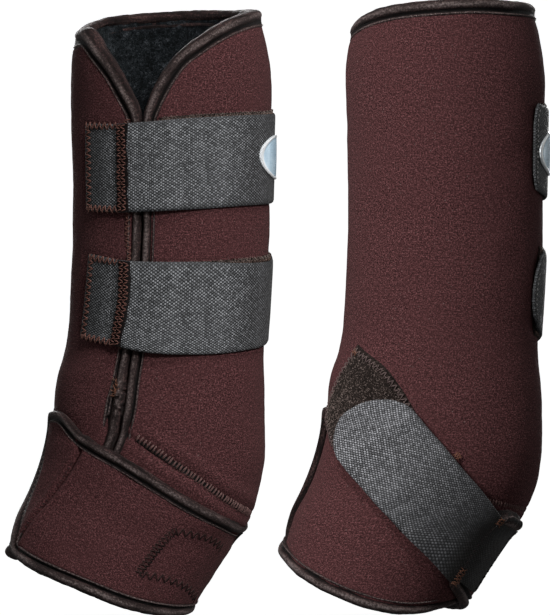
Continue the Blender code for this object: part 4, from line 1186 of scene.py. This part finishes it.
    # the dart's stitching, and the zigzag box where the strap is sewn on inside
    built = Build("sling_stitching", boot)
    t = np.linspace(8.75, 11.80, 60)
    stitches(boot, built, dashes(boot, np.stack([dart_angle(t) - 1.5, t], axis=1), 1.7, 1.0), sling_face(40) - 1.0, 0.36, 0.35)
    dart = built.object(DARK, 60)
    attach(dart, "boots")
    built, stitch_shadows = Build("sling_box_stitching", boot), Build("sling_box_dents", boot)
    box = ((113.3, 10.65), (108.4, 11.71)), ((113.3, 10.65), (154.0, 11.06)), ((108.4, 11.71), (165.0, 11.93))
    for n, (p, q) in enumerate(box):
        path = np.linspace(p, q, 40)
        path[:, 1] -= 0.10 * np.sin(np.linspace(0, np.pi, 40)) * (n > 0)
        pairs = zigzag(boot, path, 4.6, 4.4 if n == 0 else 4.3, 20 + n, cross=n == 0)
        # a near-black copy of each zigzag, set a little aside and lower: painted shadow of the threads
        stitches(boot, stitch_shadows, pairs + (0.75, 0.012), sling_face(pairs.mean(axis=1)[:, 0]) - 0.05, 0.30, 0.18)
        stitches(boot, built, pairs, sling_face(pairs.mean(axis=1)[:, 0]), 0.24, 0.34)
    on_sling(stitch_shadows.object(PAINTED_SHADE, 60), boot, "thread")
    on_sling(built.object(BROWN, 60), boot, "thread")


# ---- loop pile and the fetlock strap ------------------------------------------------------------------------------------
def fuzz(boot, built, places, base, tall, thick, seed):
    """Little curls of yarn standing on a face at places (m, 2)."""
    rng = np.random.default_rng(seed)
    m = len(places)
    way = rng.uniform(0, 2 * np.pi, m)
    reach = rng.uniform(0.5, 1.3, m)
    high = rng.uniform(0.5, 1.0, m) * tall
    s = np.linspace(0, 1, 5)
    aa, _, ss = boot.metric(places[:, 0], places[:, 1])
    curl = rng.uniform(-0.5, 0.5, m)[:, None] * np.sin(np.pi * s)
    along, aside = reach[:, None] * (s - 0.5), reach[:, None] * curl
    turn = way[:, None]
    moved = np.stack([
        (np.cos(turn) * along - np.sin(turn) * aside) / np.sqrt(aa)[:, None],
        (np.sin(turn) * along + np.cos(turn) * aside) / np.sqrt(ss)[:, None],
    ], axis=2)
    spots = places[:, None] + moved
    d = np.broadcast_to(base, m)[:, None] + high[:, None] * np.sin(np.pi * s)[None, :] - 0.15
    centre = boot.at(spots[..., 0], spots[..., 1], d)
    along = np.gradient(centre, axis=1)
    along /= np.linalg.norm(along, axis=2, keepdims=True) + 1e-9
    side = np.cross(along, rng.normal(size=(m, 1, 3)))
    side /= np.linalg.norm(side, axis=2, keepdims=True) + 1e-9
    other = np.cross(side, along)
    turn = np.linspace(0, 2 * np.pi, 3, endpoint=False)
    rings = centre[:, :, None] + thick * (np.cos(turn)[None, None, :, None] * side[:, :, None] + np.sin(turn)[None, None, :, None] * other[:, :, None])
    built.threads(rings)


def cannon_patches(boot):
    for name, edges, over in (("upper", UPPER_EDGES, 0.012), ("lower", LOWER_EDGES, 0.0)):
        angle = np.linspace(PATCH_FROM, PATCH_TO, 150)
        share = np.linspace(0, 1, 41)
        rise = over + (0.035 if name == "upper" else 0.075 * ramp(angle, 100, 150))
        top, low = line(edges[0], angle) - rise, line(edges[1], angle) + 0.0
        station = top[:, None] + (low - top)[:, None] * share[None, :]
        angles = np.broadcast_to(angle[:, None], station.shape)
        u, v = angles * 0.92, station * 35
        d = 0.95 - 1.0 * under_straps(angles, station) + 0.14 * wobble(u, v, 3.2, 60) + 0.10 * wobble(u, v, 1.9, 61)
        rim = np.minimum(np.minimum(share, 1 - share)[None, :] * 46, np.minimum(angle - PATCH_FROM, PATCH_TO - angle)[:, None] * 0.9)
        d -= 0.9 * (1 - ramp(rim, 0, 1.6))
        built = Build(name + "_loop_patch", boot)
        built.slab(boot.at(angles, station, d), boot.at(angles, station, -1.5), u, v)
        rng = np.random.default_rng(62)
        a = rng.uniform(PATCH_FROM + 1, PATCH_TO - 1, 2600)
        where = np.where(rng.uniform(size=2600) < 0.35, rng.uniform(0.0, 0.07, 2600), rng.uniform(0.07, 0.98, 2600))
        t = np.interp(a, angle, top) + (np.interp(a, angle, low) - np.interp(a, angle, top)) * where
        curls = Build(name + "_loop_curls", boot)
        fuzz(boot, curls, np.stack([a, t], axis=1), 0.85 - 1.0 * under_straps(a, t), 0.40, 0.12, 63)
        place(built.object(LOOP, 60), boot, "boots", "loop", name + "_loop_patch")
        obj = curls.object(CURLS, 60)
        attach(obj, "boots")
        built = Build(name + "_patch_stitching", boot)
        for row, inset in (((top + 0.055), 1), ((low - 0.05), 2)):
            pairs = zigzag(boot, np.stack([angle, row], axis=1), 1.7, 1.9, 64 + inset)
            mid = pairs.mean(axis=1)
            stitches(boot, built, pairs, 0.95 - 1.0 * under_straps(mid[:, 0], mid[:, 1]), 0.20, 0.25)
        obj = built.object(PALE_RUST, 60)
        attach(obj, "boots")


def ribbon(table, k, share):
    row = curve(table, k)
    return row[:, None, :2] + (row[:, None, 2:] - row[:, None, :2]) * share[None, :, None]


def fetlock_fastening(boot):
    # loop patch
    k, share = np.linspace(0, 4, 110), np.linspace(0, 1, 51)
    tucked = lambda k, s: s + 0.060 * (1 - ramp(k, 1.5, 2.5)) * (1 - s)
    spot = lambda k, s: (lambda row: row[:, :2] + (row[:, 2:] - row[:, :2]) * np.broadcast_to(tucked(k, s), len(row))[:, None])(curve(FETLOCK_PATCH, k))
    grid = np.stack([spot(k, s) for s in share], axis=1)
    at0 = boot.at(grid[..., 0], grid[..., 1], 1)
    u = np.concatenate([np.zeros((1, 51)), np.cumsum(np.linalg.norm(np.diff(at0, axis=0), axis=2), axis=0)], axis=0)
    v = np.concatenate([np.zeros((110, 1)), np.cumsum(np.linalg.norm(np.diff(at0, axis=1), axis=2), axis=1)], axis=1)
    rim = np.minimum(np.minimum(u, u[-1:] - u), np.minimum(v, v[:, -1:] - v))
    d = 1.75 + 0.20 * wobble(u, v, 3.0, 90) + 0.14 * wobble(u, v, 1.8, 91) + 0.15 * wobble(u, v, 12, 92)
    d -= 1.1 * (1 - ramp(rim, 0, 2.0))
    built = Build("fetlock_loop_patch", boot)
    built.slab(boot.at(grid[..., 0], grid[..., 1], d), boot.at(grid[..., 0], grid[..., 1], -0.3), u, v)
    rng = np.random.default_rng(93)
    kk, ss = rng.uniform(0.1, 3.96, 3400), rng.uniform(0.015, 0.985, 3400)
    curls = Build("fetlock_loop_curls", boot)
    fuzz(boot, curls, spot(kk, ss), 1.70, 0.60, 0.16, 94)
    place(built.object(LOOP, 60), boot, "boots", "loop", "fetlock_loop_patch")
    obj = curls.object(CURLS, 60)
    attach(obj, "boots")
    # its sewing: dark along the edges, rust at the corners
    built, corner = Build("fetlock_patch_stitching", boot), Build("fetlock_patch_corners", boot)
    kk = np.linspace(0.02, 3.97, 120)
    for inset in (0.035, 0.965):
        path = spot(kk, inset)
        stitches(boot, built, zigzag(boot, path, 3.4, 3.0, 95), 1.85, 0.32, 0.42)
    ends = ribbon(FETLOCK_PATCH, np.array([3.95]), np.linspace(0.03, 0.97, 40))[0]
    stitches(boot, built, zigzag(boot, ends, 3.0, 3.2, 96), 1.75, 0.30, 0.35)
    for k0, s0 in ((3.93, 0.05), (0.42, -0.05)):
        p = spot(np.array([k0 - 0.09, k0, k0 + 0.05]), s0)
        stitches(boot, corner, zigzag(boot, p, 3.4, 2.1, 97, cross=True, loose=0.3), 1.95, 0.22, 0.4)
    for one, look in ((built, TAPE_THREAD), (corner, RUST_BRIGHT)):
        obj = one.object(look, 60)
        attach(obj, "boots")
    # the strap, sewn over the sling's end; the line where it peels there is given but not used
    share = np.array([s for s, _ in RING])
    main = np.concatenate([[-1.56, -1.55, -1.52], np.linspace(-1.49, 3.0, 104)])
    tip = np.concatenate([np.linspace(0, 0.97, 34)[1:], [0.99, 1.0]])
    bulge = np.sqrt(np.clip(1 - np.abs(2 * share - 1) ** 2.2, 0, 1))
    along = [np.full(len(share), k) for k in main] + [3.0 + s * (1.0 + bulge) for s in tip]
    places = []
    for k in along:
        row = curve(FETLOCK_EDGES, k)
        inset = share * (1 - 0.075 * (1 - ramp(k, -0.45, 0.1)))
        places.append(row[:, :2] + (row[:, 2:] - row[:, :2]) * inset[:, None])
    places = np.array(places)
    k = np.concatenate([main, 3.0 + 2.0 * tip])
    thin = np.concatenate([[0.15, 0.75], np.ones(len(k) - 4), [0.7, 0.15]])
    over = float(sling_face(210.0)) + 0.75
    fall = 1 - ramp(k, 0.45, 1.6)
    low, high = 3.0 + (over - 3.0) * fall, 6.2 + (over + 1.8 - 6.2) * fall
    middle = (low + high) / 2
    wave = 0.14 * wobble(k[:, None] * 28, share[None, :] * 46, 24, 98)
    built = Build("fetlock_strap", boot)
    webbing(boot, built, places, (middle - thin * (middle - low))[:, None] + 0 * wave, (middle + thin * (high - middle))[:, None] + wave, 0.0, (np.array(along), k))
    edge = curve(FETLOCK_EDGES, np.array([0.05, 0.65]))
    mids = (edge[:, :2] + edge[:, 2:]) / 2
    bend(built.object(WEB_FINE, 50), boot, "webbing", "sling_tail", "fetlock_strap", (mids[0, 0], mids[0, 1], 7.0), (mids[1, 0], mids[1, 1], 7.0), "fetlock_strap_base", "fetlock_strap")
    # hook tape inside its end
    kk = np.linspace(2.0, 4.3, 50)
    inner = 0.07 + 0.86 * share
    places = np.array([ribbon(FETLOCK_EDGES, np.full(1, x), inner)[0] for x in kk])
    built = Build("fetlock_hook_tape", boot)
    webbing(boot, built, places, np.full(50, 2.55), np.full(50, 3.15))
    a, s = np.meshgrid(np.linspace(2.05, 4.25, 30), np.linspace(0.12, 0.88, 22), indexing="ij")
    row = curve(FETLOCK_EDGES, a.ravel())
    p = row[:, :2] + (row[:, 2:] - row[:, :2]) * s.ravel()[:, None]
    stitches(boot, built, np.stack([p, p + np.array([0.75, 0.0])], axis=1), 2.42, 0.16, -0.22, 4)
    place(built.object(HOOK, 60), boot, "fetlock_strap", "hook", "fetlock_hook_patch")
    # sewn to the sling's end by a row of stitches with rust bars at both ends
    built, bars = Build("fetlock_strap_stitching", boot), Build("fetlock_strap_bars", boot)
    on = over + 1.8
    for k0 in (-0.12, -1.40):
        p = ribbon(FETLOCK_EDGES, np.array([k0]), np.linspace(0.06, 0.94, 60))[0]
        stitches(boot, built, dashes(boot, p, 1.8, 1.7), on, 0.34, 0.3)
    for s0, s1 in ((0.01, 0.19), (0.84, 0.99)):
        p = ribbon(FETLOCK_EDGES, np.array([-0.17]), np.linspace(s0, s1, 12))[0]
        stitches(boot, bars, zigzag(boot, p, 5.2, 3.4, 99, cross=True, loose=0.5), on, 0.25, 0.42)
    for one, look in ((built, DARK), (bars, RUST_BRIGHT)):
        obj = one.object(look, 60)
        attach(obj, boot.prefix + "sling_tail")


def badge(boot):
    """A plain oval plate, slightly domed, with a raised rim."""
    angle, station, wide, high = BADGE
    aa, _, ss = boot.metric(np.array([angle]), np.array([station]))
    r = np.array([0.0, 0.04, 0.25, 0.5, 0.7, 0.82, 0.87, 0.90, 0.93, 0.97, 1.0, 1.0, 0.98, 0.75, 0.5, 0.25, 0.04])
    h = np.array([0.95, 0.95, 0.94, 0.90, 0.84, 0.78, 0.76, 0.92, 1.05, 1.0, 0.75, 0.05, -0.15, -0.2, -0.2, -0.2, -0.2])
    turn = np.linspace(0, 2 * np.pi, 72, endpoint=False)
    a = angle + r[1:, None] * np.cos(turn)[None, :] * wide / np.sqrt(aa[0])
    t = station + r[1:, None] * np.sin(turn)[None, :] * high / np.sqrt(ss[0])
    base = strap_over(angle) + 0.12
    rings = boot.at(a, t, base + h[1:, None])
    built = Build("upper_badge", boot)
    u = np.concatenate([r[1:, None] * np.cos(turn) * wide, (r[1:] * wide)[:, None]], axis=1)
    v = np.concatenate([r[1:, None] * np.sin(turn) * high, np.zeros((len(r) - 1, 1))], axis=1)
    built.loft(rings, u=u, v=v)
    place(built.object(PLATE, 40), boot, "upper_strap_end", "badge", "upper_badge")


# ---- both boots -----------------------------------------------------------------------------------------------------------
for boot in (Boot("left_", 1, -LEG_SPACING / 2, 0.0), Boot("right_", -1, LEG_SPACING / 2, RIGHT_LIFT)):
    panels(boot)
    bindings(boot)
    seam(boot)
    cannon_patches(boot)
    cannon_straps(boot)
    strap_sewing(boot)
    sling(boot)
    fetlock_fastening(boot)
    badge(boot)

# ---- floor, light and camera ------------------------------------------------------------------------------------------------
scene = bpy.context.scene
scene.view_settings.view_transform = "Standard"

world = bpy.data.worlds.new("studio")
scene.world = world
world.use_nodes = True
world.node_tree.nodes["Background"].inputs["Color"].default_value = (1, 1, 1, 1)
world.node_tree.nodes["Background"].inputs["Strength"].default_value = 0.11


def studio():
    """A pale floor under a pale dome, so that the boots stand before plain white from every side."""
    turn = np.linspace(0, 2 * np.pi, 64, endpoint=False)
    for name, heights in (("floor", ((0.02, 0.0), (6.0, 0.0), (14.0, 0.0))), ("backdrop", tuple((14.0 * math.cos(e), 14.0 * math.sin(e)) for e in np.linspace(0, math.pi / 2 - 0.01, 12)))):
        points = [(r * math.cos(a), r * math.sin(a), z - 0.003) for r, z in heights for a in turn]
        faces = [(64 * k + i, 64 * k + (i + 1) % 64, 64 * k + 64 + (i + 1) % 64, 64 * k + 64 + i) for k in range(len(heights) - 1) for i in range(64)]
        faces.append(tuple(range(64)) if name == "floor" else tuple(64 * (len(heights) - 1) + i for i in range(64)))
        mesh = bpy.data.meshes.new(name)
        mesh.from_pydata(points, [], faces)
        obj = bpy.data.objects.new(name, mesh)
        scene.collection.objects.link(obj)
        look = bpy.data.materials.new(name + "_white")
        look.use_nodes = True
        shader = look.node_tree.nodes["Principled BSDF"]
        shader.inputs["Base Color"].default_value = (0.93, 0.93, 0.93, 1)
        shader.inputs["Roughness"].default_value = 0.9
        shader.inputs["Specular IOR Level"].default_value = 0.1
        shader.inputs["Emission Color"].default_value = (1, 1, 1, 1)
        shader.inputs["Emission Strength"].default_value = 0.95
        mesh.materials.append(look)
        # it shows white without throwing its own light at the boots
        obj.visible_diffuse = obj.visible_glossy = obj.visible_shadow = False


def lamp(name, place_, aim, size, power, colour=(1, 1, 1)):
    data = bpy.data.lights.new(name, "AREA")
    data.shape, data.size, data.energy, data.color = "DISK", size, power, colour
    obj = bpy.data.objects.new(name, data)
    obj.location = place_
    back = np.array(place_, float) - np.array(aim, float)
    from mathutils import Vector
    obj.rotation_mode = "QUATERNION"
    obj.rotation_quaternion = Vector(back.tolist()).to_track_quat("Z", "Y")
    scene.collection.objects.link(obj)
    return obj


studio()
for boot, side in (("left_", 1), ("right_", -1)):
    # a key from the middle of the pair for each boot, and a weak fill from the other side
    group = bpy.data.collections.new(boot + "lit")
    for obj in scene.objects:
        if obj.type == "MESH" and obj.name.startswith(boot):
            group.objects.link(obj)
    for lamp_ in (
        lamp(boot + "key", (side * (0.95 if side > 0 else 1.25), -1.75, 1.15), (0, 0, 0.16), 0.42, 32 if side > 0 else 41),
        lamp(boot + "top", (side * 0.35, -0.95, 1.75), (0, 0, 0.16), 0.5, 15 if side > 0 else 18),
        lamp(boot + "fill", (side * -1.0, -2.0, 0.35), (0, 0, 0.16), 0.9, 1.5),
        lamp(boot + "behind", (side * -0.5, 2.1, 0.9), (0, 0, 0.16), 1.1, 34),
        lamp(boot + "end", (side * -1.8, 1.4, 0.6), (0, 0, 0.16), 0.8, 4),
        lamp(boot + "other_end", (side * 1.8, 1.4, 0.6), (0, 0, 0.16), 0.8, 4),
    ):
        lamp_.light_linking.receiver_collection = group
        lamp_.light_linking.blocker_collection = group

# the photograph's frame is 550 x 615 and shows 0.543 mm a pixel at the boots
DISTANCE = 3.0
data = bpy.data.cameras.new("camera")
data.sensor_fit, data.sensor_width = "AUTO", 36.0
data.lens = 36.0 * DISTANCE / (615 * 0.543e-3)
data.clip_start, data.clip_end = 0.05, 50
camera = bpy.data.objects.new("camera", data)
camera.location = ((275 - 307.75) * 0.543e-3, -DISTANCE, (613 - 307.5) * 0.543e-3)
camera.rotation_euler = (math.radians(90), 0, 0)
scene.collection.objects.link(camera)
scene.camera = camera
